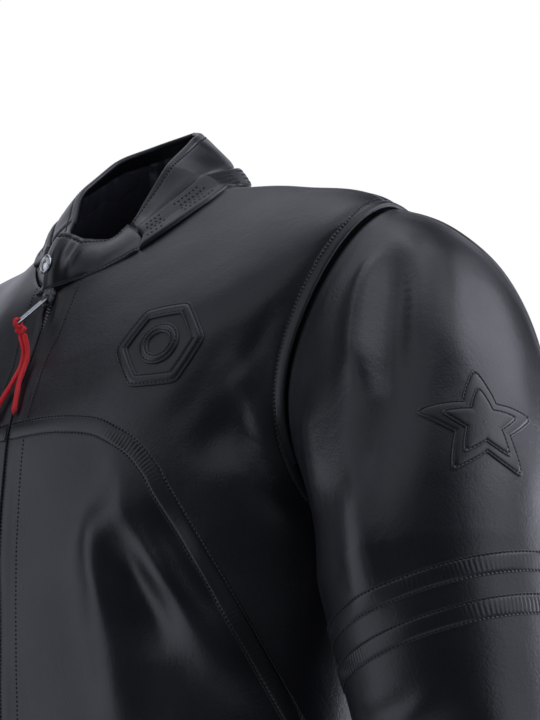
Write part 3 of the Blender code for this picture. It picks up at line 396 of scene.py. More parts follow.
# Shared dimensions and tables, the same as in the solids.
leather = {"wall": 0.0020, "sleeveGap": 0.0005, "sleeveRise": 0.45, "zipSlit": 0.0035,
           "weltSpan": math.radians(122), "stripRise": 0.40, "tabLift": 0.0028, "collarFrontEnd": 48.0,
           "trunkRounding": 0.045, "collarBow": 0.004,
           "sleeveSeamBack": math.radians(50), "sleeveSeamDown": 0.32}
bodyColumns = ("along", "halfWidth", "sideY", "frontY", "backY",
               "sideZ", "frontZ", "backZ", "frontCorner", "backCorner", "dish")
bodyRings = {
    "hem":      (0.00, 0.188, 0.000, -0.114, 0.108, -0.640, -0.645, -0.640, 2.30, 2.30, 1.00),
    "waist":    (0.22, 0.186, 0.000, -0.113, 0.104, -0.500, -0.500, -0.500, 2.30, 2.30, 1.00),
    "ribs":     (0.42, 0.198, 0.000, -0.119, 0.116, -0.370, -0.372, -0.365, 2.35, 2.35, 1.00),
    "underarm": (0.60, 0.210, 0.002, -0.122, 0.128, -0.255, -0.262, -0.245, 2.40, 2.40, 1.00),
    "armhole":  (0.72, 0.213, 0.006, -0.118, 0.132, -0.150, -0.187, -0.150, 2.40, 2.40, 1.20),
    "shoulder": (0.84, 0.217, 0.010, -0.101, 0.122, -0.043, -0.133, -0.062, 2.30, 2.30, 1.60),
    "seam":     (0.92, 0.146, 0.008, -0.088, 0.100, -0.013, -0.105, -0.014, 1.90, 2.15, 1.40),
    "neck":     (1.00, 0.074, 0.004, -0.078, 0.076, 0.000, -0.0745, 0.022, 1.50, 2.10, 1.15),
}
collarColumns = ("turn", "x", "y", "z")
collarTop = {
    "middle":           (-180.0, 0.0000, 0.0630, 0.0650),
    "right back":       (-150.0, -0.0240, 0.0435, 0.0550),
    "right side back":  (-120.0, -0.0384, 0.0160, 0.0405),
    "right side":       (-90.0, -0.0365, -0.0095, 0.0215),
    "right side front": (-60.0, -0.0270, -0.0355, -0.0040),
    "right front":      (-30.0, -0.0120, -0.0610, -0.0270),
    "front":            (0.0, 0.0045, -0.0690, -0.0350),
    "tab":              (15.0, 0.0115, -0.0580, -0.0360),
    "left front":       (30.0, 0.0158, -0.0425, -0.0345),
    "strip end":        (48.0, 0.0212, -0.0285, -0.0225),
    "left side front":  (65.0, 0.0270, -0.0200, -0.0040),
    "left side":        (90.0, 0.0360, -0.0090, 0.0210),
    "left side back":   (120.0, 0.0386, 0.0155, 0.0410),
    "left back":        (150.0, 0.0242, 0.0435, 0.0555),
    "left middle":      (180.0, 0.0000, 0.0630, 0.0650),
}
sleeveColumns = ("along", "x", "y", "z", "outward", "forward", "lean", "pitch")
sleeveRings = {
    "bicep":   (0.40, 0.290, -0.035, -0.295, 0.074, 0.077, 8.0, 2.0),
    "elbow":   (0.62, 0.309, -0.030, -0.425, 0.062, 0.066, 8.0, 0.0),
    "forearm": (0.82, 0.324, -0.037, -0.555, 0.051, 0.056, 7.0, -8.0),
    "cuff":    (1.00, 0.334, -0.056, -0.670, 0.041, 0.046, 6.0, -12.0),
}
armhole = {"along": 0.72, "reach": 0.12, "front": 29.0, "back": 26.0}

# folds of the solids: points of the line, half width, height
bodyFolds = {
    "hollow under the chest": (((62, 0.760), (50, 0.705), (36, 0.672)), 0.024, -0.007),
    "upper armpit drag":      (((45, 0.765), (56, 0.700), (68, 0.655)), 0.013, 0.006),
    "lower armpit drag":      (((37, 0.683), (51, 0.645), (70, 0.610)), 0.015, 0.005),
    "front ridge":            (((21, 0.690), (24, 0.640), (19, 0.600), (22, 0.500), (27, 0.380)),
                               0.016, 0.006),
    "slanting ridge":         (((25, 0.630), (32, 0.578), (43, 0.505), (56, 0.420)), 0.015, 0.006),
    "valley under the band":  (((29, 0.632), (38, 0.572), (50, 0.500)), 0.013, -0.005),
    "valley between ridges":  (((21, 0.605), (28, 0.550), (37, 0.480)), 0.013, -0.006),
    "side waist":             (((88, 0.330), (66, 0.270), (44, 0.260)), 0.022, -0.006),
    "side skirt":             (((84, 0.230), (72, 0.130), (64, 0.010)), 0.024, 0.006),
    "front skirt":            (((40, 0.240), (34, 0.120), (32, 0.000)), 0.026, 0.005),
    "shoulder blade drag":    (((116, 0.640), (136, 0.560), (150, 0.450)), 0.022, -0.006),
    "back armhole ridge":     (((120, 0.720), (132, 0.640), (136, 0.520)), 0.018, 0.006),
    "back waist":             (((96, 0.300), (132, 0.255), (178, 0.262)), 0.024, -0.007),
    "back skirt":             (((140, 0.220), (146, 0.120), (150, 0.000)), 0.028, 0.006),
}
sleeveFolds = {
    "cap valley":         (((16, 0.060), (37, 0.128), (56, 0.229), (75, 0.340)), 0.014, -0.006),
    "outer cap ridge":    (((12, 0.070), (24, 0.150), (32, 0.250)), 0.016, 0.004),
    "front cap ridge":    (((30, 0.050), (50, 0.110), (68, 0.190)), 0.014, 0.004),
    "front edge ridge":   (((78, 0.100), (96, 0.170), (112, 0.270)), 0.013, 0.004),
    "front arm ridge":    (((76, 0.270), (88, 0.360), (96, 0.470)), 0.014, 0.004),
    "inner elbow crease": (((50, 0.580), (95, 0.610), (140, 0.585)), 0.013, -0.007),
    "second elbow crease": (((60, 0.660), (100, 0.672), (150, 0.690)), 0.012, -0.006),
    "elbow roll":         (((55, 0.620), (98, 0.640), (145, 0.640)), 0.012, 0.005),
    "outer elbow drag":   (((-40, 0.560), (-80, 0.610), (-110, 0.680)), 0.018, -0.005),
    "forearm drag":       (((20, 0.760), (60, 0.800), (100, 0.860)), 0.016, -0.005),
    "back arm drag":      (((-60, 0.160), (-80, 0.280), (-100, 0.420)), 0.020, -0.006),
}
# finer creases that only the looks have
bodyCreases = {
    "chest boundary":   (((45.5, 0.7875), (39, 0.745), (32, 0.7025)), 0.011, -0.0022),
    "front rim":        (((18.5, 0.705), (22.5, 0.670), (26, 0.6175), (30.5, 0.5775), (40, 0.525)),
                         0.008, 0.0024),
    "front leg":        (((18, 0.645), (17.5, 0.6125), (19.5, 0.5625), (23, 0.515)), 0.007, 0.0018),
    "dark pocket":      (((38, 0.70), (46, 0.655), (56, 0.62)), 0.012, -0.0030),
    "armhole pull":     (((58, 0.800), (50, 0.760), (40, 0.730)), 0.007, -0.0012),
    "armpit crease":    (((62, 0.650), (56, 0.672), (48, 0.690)), 0.006, -0.0015),
    "band pull":        (((27, 0.655), (30, 0.610), (38, 0.560)), 0.006, 0.0014),
    "low crease":       (((20, 0.560), (26, 0.520), (36, 0.470)), 0.007, -0.0016),
    "waist crease":     (((80, 0.300), (62, 0.250), (50, 0.235)), 0.008, -0.0020),
    "skirt crease":     (((60, 0.200), (56, 0.120), (54, 0.050)), 0.009, 0.0016),
    "back crease":      (((110, 0.600), (122, 0.540), (128, 0.470)), 0.008, -0.0020),
    "back waist crease": (((110, 0.270), (135, 0.235), (160, 0.240)), 0.008, -0.0020),
}
sleeveCreases = {
    "front cap edge":   (((29, 0.0375), (42, 0.0750), (56, 0.1175), (66, 0.190)), 0.007, 0.0030),
    "cap hollow":       (((25, 0.050), (38, 0.095), (50, 0.150), (62, 0.235)), 0.009, -0.0040),
    "outer cap edge":   (((20, 0.045), (26, 0.090), (33, 0.140), (44, 0.210)), 0.007, 0.0032),
    "front arm hollow": (((66, 0.200), (74, 0.290), (82, 0.390)), 0.011, -0.0035),
    "inner crease":     (((70, 0.545), (100, 0.560), (128, 0.548)), 0.006, -0.0022),
    "third crease":     (((66, 0.720), (96, 0.735), (130, 0.722)), 0.007, -0.0018),
    "cuff crease":      (((40, 0.880), (90, 0.905), (140, 0.890)), 0.007, -0.0014),
    "outer crease":     (((-30, 0.500), (-60, 0.560), (-90, 0.590)), 0.008, -0.0018),
}


# Smooth curve through one column of a table, kept as closely spaced values once it is worked out.
smoothColumns = {}


def throughTable(table, columns, name, at):
    label = (id(table), name)
    if label not in smoothColumns:
        xs = np.array([row[0] for row in table.values()])
        ys = np.array([row[columns.index(name)] for row in table.values()])
        width = np.diff(xs)
        slope = np.diff(ys) / width
        tangent = np.empty(len(xs))
        tangent[0], tangent[-1] = slope[0], slope[-1]
        for i in range(1, len(xs) - 1):
            if slope[i - 1] * slope[i] > 0:
                first, second = 2 * width[i] + width[i - 1], width[i] + 2 * width[i - 1]
                tangent[i] = (first + second) / (first / slope[i - 1] + second / slope[i])
            else:
                tangent[i] = 0.0
        fine = np.linspace(xs[0], xs[-1], 6001)
        k = np.clip(np.searchsorted(xs, fine, side="right") - 1, 0, len(xs) - 2)
        t = (fine - xs[k]) / width[k]
        smoothColumns[label] = fine, (
            (1 + 2 * t) * (1 - t) ** 2 * ys[k] + t * (1 - t) ** 2 * width[k] * tangent[k]
            + t * t * (3 - 2 * t) * ys[k + 1] + t * t * (t - 1) * width[k] * tangent[k + 1])
    return np.interp(at, *smoothColumns[label])


def ringPoint(turn, along):
    halfWidth, sideY, frontY, backY, sideZ, frontZ, backZ, frontCorner, backCorner, dish = (
        throughTable(bodyRings, bodyColumns, name, along) for name in bodyColumns[1:])
    sine, cosine = np.sin(np.radians(turn)), np.cos(np.radians(turn))
    corner = np.where(cosine > 0, frontCorner, backCorner)
    depth = np.abs(cosine) ** (2 / corner)
    x = halfWidth * np.sign(sine) * np.abs(sine) ** (2 / corner)
    y = sideY + np.where(cosine > 0, frontY - sideY, backY - sideY) * depth
    z = sideZ + np.where(cosine > 0, frontZ - sideZ, backZ - sideZ) * depth ** dish
    return np.stack([x, y, z], -1)


def bodyForm(turn, along):
    turn, along = np.broadcast_arrays(np.asarray(turn, float), np.asarray(along, float))
    fromSide = np.degrees(np.arcsin(np.minimum(np.abs(np.cos(np.radians(turn))), 1)))
    reach = leather["trunkRounding"] * smooth((fromSide - 10) / 35)
    reach = np.minimum(reach, np.clip(np.minimum(along, 1 - along), 0, None))
    return (ringPoint(turn, along - reach) + 2 * ringPoint(turn, along) + ringPoint(turn, along + reach)) / 4


def turnAt(x, along):
    halfWidth = throughTable(bodyRings, bodyColumns, "halfWidth", along)
    corner = throughTable(bodyRings, bodyColumns, "frontCorner", along)
    return np.sign(x) * np.degrees(np.arcsin((np.abs(x) / halfWidth) ** (corner / 2)))


def normalsOf(form, a, b, stepA, stepB):
    da = form(a + stepA, b) - form(a - stepA, b)
    db = form(a, b + stepB) - form(a, b - stepB)
    return unit(np.cross(da, db))


# Small steps of (turn, along) and (beta, along), from which slopes are taken.
bodySteps = (0.5, 0.003)
sleeveSteps = (0.01, 0.003)


def armholeTurn(beta):
    return 90 - np.where(np.sin(beta) > 0, armhole["front"], armhole["back"]) * np.sin(beta)


def armholeLevel(beta):
    return armhole["along"] + armhole["reach"] * np.cos(beta)


def armholeBeta(along):
    return np.arccos(np.clip((along - armhole["along"]) / armhole["reach"], -1, 1))


def sleeveForm(beta, along):
    beta, along = np.broadcast_arrays(np.asarray(beta, float), np.asarray(along, float))
    start = bodyForm(armholeTurn(beta), armholeLevel(beta))
    bodyOut = normalsOf(bodyForm, armholeTurn(beta), armholeLevel(beta), 1.0, 0.004)
    sine, cosine = np.sin(beta), np.cos(beta)
    leave = unit(np.stack([0.70 + 0.28 * cosine, -0.62 * sine, -0.68 + 0.40 * cosine], -1))
    rise = np.sum(leave * bodyOut, -1, keepdims=True)
    need = leather["sleeveRise"] * smooth((0.3 - cosine) / 0.6)[..., None]
    leave = unit(leave + bodyOut * np.maximum(0, need - rise))
    start = start + leave * (leather["sleeveGap"] + leather["wall"] * np.maximum(0, -rise)) \
        + bodyOut * leather["sleeveGap"]
    bicep = sleeveRings["bicep"][0]
    lower = np.maximum(along, bicep)
    x, y, z, outward, forward, lean, pitch = (
        throughTable(sleeveRings, sleeveColumns, name, lower) for name in sleeveColumns[1:])
    lean, pitch = np.radians(lean), np.radians(pitch)
    acrossX = np.stack([np.cos(lean), 0 * lean, np.sin(lean)], -1)
    acrossY = np.stack([0 * pitch, np.cos(pitch), -np.sin(pitch)], -1)
    ring = (np.stack([x, y, z], -1) + (outward * cosine)[..., None] * acrossX
            - (forward * sine)[..., None] * acrossY)
    down = unit(np.cross(acrossY, acrossX))
    reach = np.linalg.norm(ring - start, axis=-1, keepdims=True)
    t = np.clip(along / bicep, 0, 1)[..., None]
    cap = ((1 + 2 * t) * (1 - t) ** 2 * start + t * (1 - t) ** 2 * 1.15 * reach * leave
           + t * t * (3 - 2 * t) * ring + t * t * (t - 1) * reach * down)
    return np.where((along <= bicep)[..., None], cap, ring)


def collarForm(turn, rise):
    turn, rise = np.broadcast_arrays(np.asarray(turn, float), np.asarray(rise, float))
    around = np.mod(turn + 180, 360) - 180
    top = np.stack([throughTable(collarTop, collarColumns, name, around) for name in collarColumns[1:]], -1)
    base = bodyForm(turn, 1.0)
    outward = unit(base * (1, 1, 0))
    bow = (leather["collarBow"] * 4 * rise * (1 - rise))[..., None]
    return base + (top - base) * rise[..., None] + outward * bow


# Height of all folds at the points: each line is spread with a soft round brush, so that it has no sharp ends.
foldPaths = {}


def foldHeight(points, folds, form, inDegrees):
    flat = points.reshape(-1, 3)
    total = np.zeros(len(flat))
    for name, (line, halfWidth, height) in folds.items():
        if (form, name) not in foldPaths:
            steps = smoothLine(line, 60)
            first = steps[:, 0] if inDegrees else np.radians(steps[:, 0])
            path = form(first, steps[:, 1])
            arc = lengthsAlong(path)
            share = arc / arc[-1]
            weight = smooth(share / 0.25) * smooth((1 - share) / 0.25) * np.gradient(arc)
            foldPaths[form, name] = path, weight / (halfWidth * math.sqrt(math.pi)), path.mean(0)
        path, weight, middle = foldPaths[form, name]
        reach = np.linalg.norm(path - middle, axis=1).max() + halfWidth * 2.6
        close = np.linalg.norm(flat - middle, axis=1) < reach
        if close.any():
            squares = (flat[close] ** 2).sum(1)[:, None] + (path ** 2).sum(1)[None] - 2 * flat[close] @ path.T
            total[close] += height * (np.exp(-np.maximum(squares, 0) / halfWidth ** 2) @ weight)
    return total.reshape(points.shape[:-1])


# Slow ripples of a hide that was never quite flat: a fixed set of slanting waves.
rippleWaves = {"count": 9, "shortest": 0.030, "longest": 0.110, "height": 0.00022}


def ripple(points, seed):
    draw = np.random.default_rng(seed)
    total = np.zeros(points.shape[:-1])
    for _ in range(rippleWaves["count"]):
        way = unit(draw.normal(size=3))
        length = draw.uniform(rippleWaves["shortest"], rippleWaves["longest"])
        phase = draw.uniform(0, 2 * math.pi)
        total += np.sin(points @ way * (2 * math.pi / length) + phase) * length / rippleWaves["longest"]
    return total * rippleWaves["height"]


# The right shoulder hangs a little lower than the left, as in the photograph.
droop = {"depth": 18.0, "from": 0.045, "over": 0.065, "fadeLevel": -0.34, "fadeOver": 0.22}


def settled(points):
    share = smooth((-points[..., 0] - droop["from"]) / droop["over"]) \
        * smooth((points[..., 2] - droop["fadeLevel"]) / droop["fadeOver"])
    return points - (share * droop["depth"] * mm)[..., None] * np.array((0, 0, 1.0))


armholeSteps = np.radians(np.arange(0, 360, 3))
armholeLoop = bodyForm(armholeTurn(armholeSteps), armholeLevel(armholeSteps))
allBodyFolds = {**bodyFolds, **bodyCreases}
allSleeveFolds = {**sleeveFolds, **sleeveCreases}


def bodySkin(turn, along):
    turn, along = np.broadcast_arrays(np.asarray(turn, float), np.asarray(along, float))
    right = np.sin(np.radians(turn)) < 0
    leftTurn = np.where(right, 360 - np.mod(turn, 360), np.mod(turn, 360))
    point = bodyForm(leftTurn, along)
    out = normalsOf(bodyForm, leftTurn, along, *bodySteps)
    edge = np.linalg.norm(point[..., None, :] - armholeLoop, axis=-1).min(-1)
    front = np.where(point[..., 1] < 0, smooth((np.abs(point[..., 0]) - 0.012) / 0.025), 1)
    fade = smooth((edge - 0.004) / 0.026) * front * smooth((0.97 - along) / 0.05)
    height = foldHeight(point, allBodyFolds, bodyForm, True) * fade
    flip = np.where(right[..., None], (-1, 1, 1), (1, 1, 1))
    height = height + ripple(point * flip, 4) * smooth(edge / 0.02)
    return settled((point + out * height[..., None]) * flip)


def sleeveSkin(beta, along, side=1):
    beta, along = np.broadcast_arrays(np.asarray(beta, float), np.asarray(along, float))
    point = sleeveForm(beta, along)
    out = normalsOf(sleeveForm, beta, along, *sleeveSteps)
    height = foldHeight(point, allSleeveFolds, sleeveForm, False) * smooth((along - 0.02) / 0.06)
    height = height + ripple(point * (side, 1, 1), 7) * smooth(along / 0.05)
    return settled((point + out * height[..., None]) * (side, 1, 1))


def bodyNormals(turn, along):
    return normalsOf(bodySkin, turn, along, *bodySteps)


def sleeveNormals(beta, along, side=1):
    skin = lambda a, b: sleeveSkin(a, b, side)
    return normalsOf(skin, beta, along, *sleeveSteps) * side


# Distance from each point to a polyline, and the length along it at the nearest place.
def toLine(points, line):
    flat = points.reshape(-1, 3)
    runs = lengthsAlong(line)
    start, step = line[:-1], np.diff(line, axis=0)
    squares = np.maximum((step ** 2).sum(1), 1e-18)
    away, run = np.empty(len(flat)), np.empty(len(flat))
    for first in range(0, len(flat), 2000):
        part = flat[first:first + 2000, None] - start[None]
        t = np.clip((part * step).sum(-1) / squares, 0, 1)
        distance = np.linalg.norm(part - t[..., None] * step, axis=-1)
        best = distance.argmin(1)
        rows = np.arange(len(best))
        away[first:first + 2000] = distance[rows, best]
        run[first:first + 2000] = runs[best] + t[rows, best] * np.sqrt(squares[best])
    return away.reshape(points.shape[:-1]), run.reshape(points.shape[:-1])


# Places along lines of the given lengths: close together at both ends, even between.
def stations(length, start, end, middle):
    length = np.atleast_1d(length)[:, None]
    first = np.repeat(np.asarray(start)[None] * mm, len(length), 0)
    last = length - np.asarray(end)[::-1][None] * mm
    share = np.linspace(0, 1, middle + 2)[1:-1][None]
    between = first[:, -1:] + (last[:, :1] - first[:, -1:]) * share
    return np.hstack([first, between, last])


# Values of a along a form's line at each level, so that the points lie at those stations.
def acrossForm(form, firstA, lastA, levels, start, end, middle):
    share = np.linspace(0, 1, 161)[None]
    a = firstA[:, None] * (1 - share) + lastA[:, None] * share
    line = form(a, np.repeat(levels[:, None], 161, 1))
    arcs = np.hstack([np.zeros((len(levels), 1)), np.cumsum(np.linalg.norm(np.diff(line, axis=1), axis=-1), 1)])
    at = stations(arcs[:, -1], start, end, middle)
    return np.array([np.interp(at[k], arcs[k], a[k]) for k in range(len(levels))]), at


# How a panel's face and back move near an edge, in metres, by the distance from that edge.
seamShape = {"dip": 1.5, "dipWidth": 1.5, "swell": 0.55, "swellAt": 6.0, "swellWidth": 3.4}
foldShape = {"radius": 0.9, "swell": 0.35}


def seamFace(away):
    away = away / mm
    return mm * (seamShape["swell"] * hump(away - seamShape["swellAt"], seamShape["swellWidth"])
                 - seamShape["dip"] * hump(away, seamShape["dipWidth"]))


def foldRound(away):
    radius = foldShape["radius"] * mm
    return radius - np.sqrt(np.maximum(radius ** 2 - np.maximum(radius - away, 0) ** 2, 0))


def rowDent(away, depth=0.35, width=1.1):
    return -depth * mm * hump(away / mm, width)


# Signed distance in mm to up to three stitch rows, and the run along each, for the leather's nodes.
def rowFields(points, rows):
    away, run = np.full(points.shape, noRow), np.zeros(points.shape)
    for k, (line, side) in enumerate(rows):
        distance, along = toLine(points, line)
        away[..., k] = np.clip(distance / mm, 0, noRow) * np.where(side < 0, -1, 1)
        run[..., k] = along / mm
    return away, run


# Skin parameters of points set sideways from a line on a skin, by the given distances in mm.
def beside(skin, a, b, steps, across, towards=None):
    point = skin(a, b)
    da = (skin(a + steps[0], b) - skin(a - steps[0], b)) / (2 * steps[0])
    db = (skin(a, b + steps[1]) - skin(a, b - steps[1])) / (2 * steps[1])
    side = unit(np.cross(unit(np.cross(da, db)), unit(np.gradient(point, axis=0))))
    if towards is not None:
        side = side * np.sign(np.sum(side * towards, -1, keepdims=True))
    aa, ab, bb = (da * da).sum(-1), (da * db).sum(-1), (db * db).sum(-1)
    ra, rb = (da * side).sum(-1), (db * side).sum(-1)
    det = aa * bb - ab * ab
    moveA, moveB = (ra * bb - rb * ab) / det, (rb * aa - ra * ab) / det
    across = np.asarray(across) * mm
    return a[:, None] + moveA[:, None] * across, b[:, None] + moveB[:, None] * across


sewing = {}            # stitch rows by the piece that they are sewn on
sheets = []            # cut pieces: object, node, flat size, area and slot


def sewRow(host, points, normals, lift=0.10):
    sewing.setdefault(host, []).append(points + normals * lift * mm)


def gridArea(grid):
    low, high = grid[:-1, :-1], grid[1:, 1:]
    first = np.cross(grid[1:, :-1] - low, grid[:-1, 1:] - low)
    second = np.cross(grid[:-1, 1:] - high, grid[1:, :-1] - high)
    return float((np.linalg.norm(first, axis=-1) + np.linalg.norm(second, axis=-1)).sum() / 2)


def spans(grid):
    first = np.linalg.norm(np.diff(grid, axis=0), axis=-1).sum(0).max()
    second = np.linalg.norm(np.diff(grid, axis=1), axis=-1).sum(1).max()
    return float(first), float(second)


def noteSheet(piece, node, grid, slot="leather"):
    sheets.append({"piece": piece, "node": node, "flat": spans(grid), "area": gridArea(grid), "slot": slot})


# Body panels.
panel = {"seamEdge": (0, 0.3, 0.7, 1.2, 1.8, 2.6, 3.6, 4.8, 6.2, 7.4, 8.2, 8.8, 9.4, 10.4, 12.0, 14.5),
         "frontEdge": (0, 0.12, 0.4, 0.9, 1.8, 3.0, 4.5, 6.0, 7.5, 8.8, 9.8, 10.8, 11.8, 12.8, 13.8, 14.8, 15.8,
                       17.0, 18.5, 20.5, 23.0),
         "hemEdge": (0, 0.12, 0.4, 0.9, 2.0, 3.5, 5.0, 6.4, 7.4, 8.0, 8.6, 9.6, 11.5, 14.0, 17.5),
         "neckEdge": (0, 0.4, 0.9, 1.6, 2.6, 3.8, 5.5, 8.0, 12.0), "frontMiddle": 58, "backMiddle": 110,
         "hemRow": 8.0, "welt": 8.8, "trunkRows": 104, "armholeRows": 72, "shoulderRows": 40,
         "hemScale": 0.636, "neckScale": 0.90, "rowsApart": 0.0012, "slit": 0.9, "slitOpen": 0.965,
         "slitFade": 0.045, "frontDents": (0.10, 0.30, 0.30), "backDents": (0.30, 0.0, 0.30)}
# where the facing is sewn to the front: level, and distance from the middle in metres
facingTable = {"hem": (0.0, 0.0148), "chest": (0.74, 0.0150), "above": (0.90, 0.0172), "neck": (1.0, 0.0212)}


# Levels of a panel's rows: close at hem and neck, and never closer than rowsApart by the armhole.
def panelLevels():
    hem = np.array(panel["hemEdge"]) * mm / panel["hemScale"]
    neck = 1 - np.array(panel["neckEdge"])[::-1] * mm / panel["neckScale"]
    low, high = armhole["along"] - armhole["reach"], armhole["along"] + armhole["reach"]
    trunk = np.linspace(hem[-1], low, panel["trunkRows"])[1:-1]
    apart = panel["rowsApart"]
    for level in armholeLevel(np.linspace(math.pi, 0, panel["armholeRows"]))[1:-1]:
        if level - trunk[-1] >= apart and level - low >= apart and high - level >= apart:
            trunk = np.append(trunk, level)
    trunk = np.sort(np.append(trunk, low))
    above = np.linspace(high, neck[0], panel["shoulderRows"])[1:-1]
    return np.concatenate([hem, trunk, [high], above, neck])


levels = panelLevels()
armholeCut = np.sin(armholeBeta(levels))
loopBeta = np.linspace(0, 2 * math.pi, 181)
loopAt = armholeTurn(loopBeta), armholeLevel(loopBeta)
weltA, weltB = beside(bodyForm, *loopAt, bodySteps, (panel["welt"],),
                      towards=bodyForm(*loopAt) - armholeLoop.mean(0))
weltRow = bodySkin(weltA[:, 0], weltB[:, 0])


# One panel from the turns of its points; a panel with a seam on its other side too is the back.
def makeBodyPanel(name, turns, edges, side):
    grid = np.repeat(levels[:, None], turns.shape[1], 1)
    points, normals = bodySkin(turns, grid), bodyNormals(turns, grid)
    isFront = "otherSide" not in edges
    lines = {"side": points[:, -1], "otherSide": points[:, 0], "neck": points[-1]}
    face, back = np.zeros(turns.shape), np.full(turns.shape, -leather["wall"])
    for border in edges:
        away = toLine(points, lines[border])[0]
        face += seamFace(away) * (0.5 if border == "neck" else 1)
    folded = [points[0]] + ([points[:, 0]] if isFront else [])
    for line in folded:
        away = toLine(points, line)[0]
        face += foldShape["swell"] * mm * hump(away / mm - 5, 3.0) - foldRound(away)
        back += foldRound(away)
    rows = []
    hemLevel = panel["hemRow"] * mm / panel["hemScale"]
    if isFront:
        facingTurn = turnAt(throughTable(facingTable, ("along", "x"), "x", levels), levels) * side
        rows.append((bodySkin(facingTurn, levels), (turns - facingTurn[:, None]) * side))
        sewRow(name, bodySkin(facingTurn, levels), bodyNormals(facingTurn, levels))
    hemTurns = turns[0]
    hemRow = bodySkin(hemTurns, 0 * hemTurns + hemLevel)
    rows.append((hemRow, grid - hemLevel))
    sewRow(name, hemRow, bodyNormals(hemTurns, 0 * hemTurns + hemLevel))
    signs = (side,) if isFront else (1, -1)
    armholes = [settled(weltRow * (sign, 1, 1)) for sign in signs]
    loops = [settled(armholeLoop * (sign, 1, 1)) for sign in signs]
    nearest = np.min([toLine(points, np.vstack([loop, loop[:1]]))[0] for loop in loops], 0)
    fields = [toLine(points, row) for row in armholes]
    away, run = rowFields(points, rows)
    pick = np.argmin([f[0] for f in fields], 0)
    distance = np.choose(pick, [f[0] for f in fields])
    away[..., 2] = np.clip(distance / mm, 0, noRow) * np.where(nearest < panel["welt"] * mm, -1, 1)
    run[..., 2] = np.choose(pick, [f[1] for f in fields]) / mm
    for k, depth in enumerate(panel["frontDents" if isFront else "backDents"]):
        face += rowDent(away[..., k] * mm, depth)
    if isFront:
        away[..., 0] = noRow     # the facing's row is only a faint line of thread
    made = wall(name, points + normals * face[..., None], points + normals * back[..., None],
                (blackLeather, liningCloth), away, run)
    noteSheet(made, name, points)


# Half the gap between the fronts: almost closed over the teeth, open around the slider.
def slitHalf(level):
    closed = smooth((panel["slitOpen"] - level) / panel["slitFade"])
    return leather["zipSlit"] - (leather["zipSlit"] - panel["slit"] * mm) * closed


def makeBody():
    firstTurn = turnAt(slitHalf(levels), levels) * np.ones_like(levels)
    lastTurn = 90 - armhole["front"] * armholeCut
    # The armhole pushes the columns near it aside, and those by the zip hardly at all.
    turns = acrossForm(bodyForm, firstTurn, 90 + 0 * levels, levels, panel["frontEdge"], panel["seamEdge"],
                       panel["frontMiddle"])[0]
    share = (turns - turns[:, :1]) / (turns[:, -1:] - turns[:, :1])
    turns = turns + (lastTurn - 90)[:, None] * share ** 2
    for side, label in ((1, "left"), (-1, "right")):
        makeBodyPanel("front_" + label, turns * side, ("side", "neck"), side)
    lastBack = 90 - armhole["back"] * armholeCut
    turns = acrossForm(bodyForm, 180 - lastBack, 180 + lastBack, levels, panel["seamEdge"], panel["seamEdge"],
                       panel["backMiddle"])[0]
    makeBodyPanel("back", turns, ("side", "otherSide", "neck"), 1)
    for label, side in (("left", 1), ("right", -1)):
        sewRow("armhole_welt_" + label, settled(weltRow * (side, 1, 1)),
               bodyNormals(weltA[:, 0] * side, weltB[:, 0]))


makeBody()
print("body panels made")

# Sleeves, each in a front and a back half.
sleeve = {"seamEdge": (0, 0.3, 0.8, 1.4, 2.2, 3.2, 4.5, 6.2, 8.5, 11.0), "across": 50, "along": 176,
          "headEdge": (0, 0.4, 0.9, 1.5, 2.3, 3.3, 4.6, 6.2, 8.5, 11.0), "headScale": 0.45,
          "cuffEdge": (0, 0.12, 0.4, 0.9, 2.0, 4.0, 6.0, 8.0, 9.2, 10.0, 10.8, 12.5, 15.0), "cuffScale": 0.635,
          "cuffRow": 10.0, "backProud": 1.2}


# Beta of the outer seam: 0 at the armhole, then curving to the back of the arm.
def sleeveSeam(along):
    return -leather["sleeveSeamBack"] * smooth(along / leather["sleeveSeamDown"])


def makeSleeve(half, side, label):
    head = np.array(sleeve["headEdge"]) * mm / sleeve["headScale"]
    cuff = 1 - np.array(sleeve["cuffEdge"])[::-1] * mm / sleeve["cuffScale"]
    along = np.concatenate([head, np.linspace(head[-1], cuff[0], sleeve["along"])[1:-1], cuff])
    seam, under = sleeveSeam(along), math.pi * np.ones_like(along)
    first, last = (seam, under) if half == "front" else (under, seam + 2 * math.pi)
    betas = acrossForm(sleeveForm, first, last, along, sleeve["seamEdge"], sleeve["seamEdge"],
                       sleeve["across"])[0]
    grid = np.repeat(along[:, None], betas.shape[1], 1)
    points, normals = sleeveSkin(betas, grid, side), sleeveNormals(betas, grid, side)
    face, back = np.zeros(betas.shape), np.full(betas.shape, -leather["wall"])
    for line in (points[:, 0], points[:, -1], points[0]):
        face += seamFace(toLine(points, line)[0])
    if half == "back":
        top = toLine(points, points[:, -1])[0]
        face += sleeve["backProud"] * mm * hump(top / mm - 3.5, 4.5)
    cuffAway = toLine(points, points[-1])[0]
    face -= foldRound(cuffAway)
    back += foldRound(cuffAway)
    cuffLevel = 1 - sleeve["cuffRow"] * mm / sleeve["cuffScale"]
    rowBetas = betas[-1]
    cuffRow = sleeveSkin(rowBetas, 0 * rowBetas + cuffLevel, side)
    away, run = rowFields(points, [(cuffRow, cuffLevel - grid)])
    face += rowDent(away[..., 0] * mm)
    name = f"sleeve_{half}_{label}"
    made = wall(name, points + normals * face[..., None], points + normals * back[..., None],
                (blackLeather, liningCloth), away, run)
    sewRow(name, cuffRow, sleeveNormals(rowBetas, 0 * rowBetas + cuffLevel, side))
    noteSheet(made, name, points)


for label, side in (("left", 1), ("right", -1)):
    makeSleeve("front", side, label)
    makeSleeve("back", side, label)
print("sleeves made")

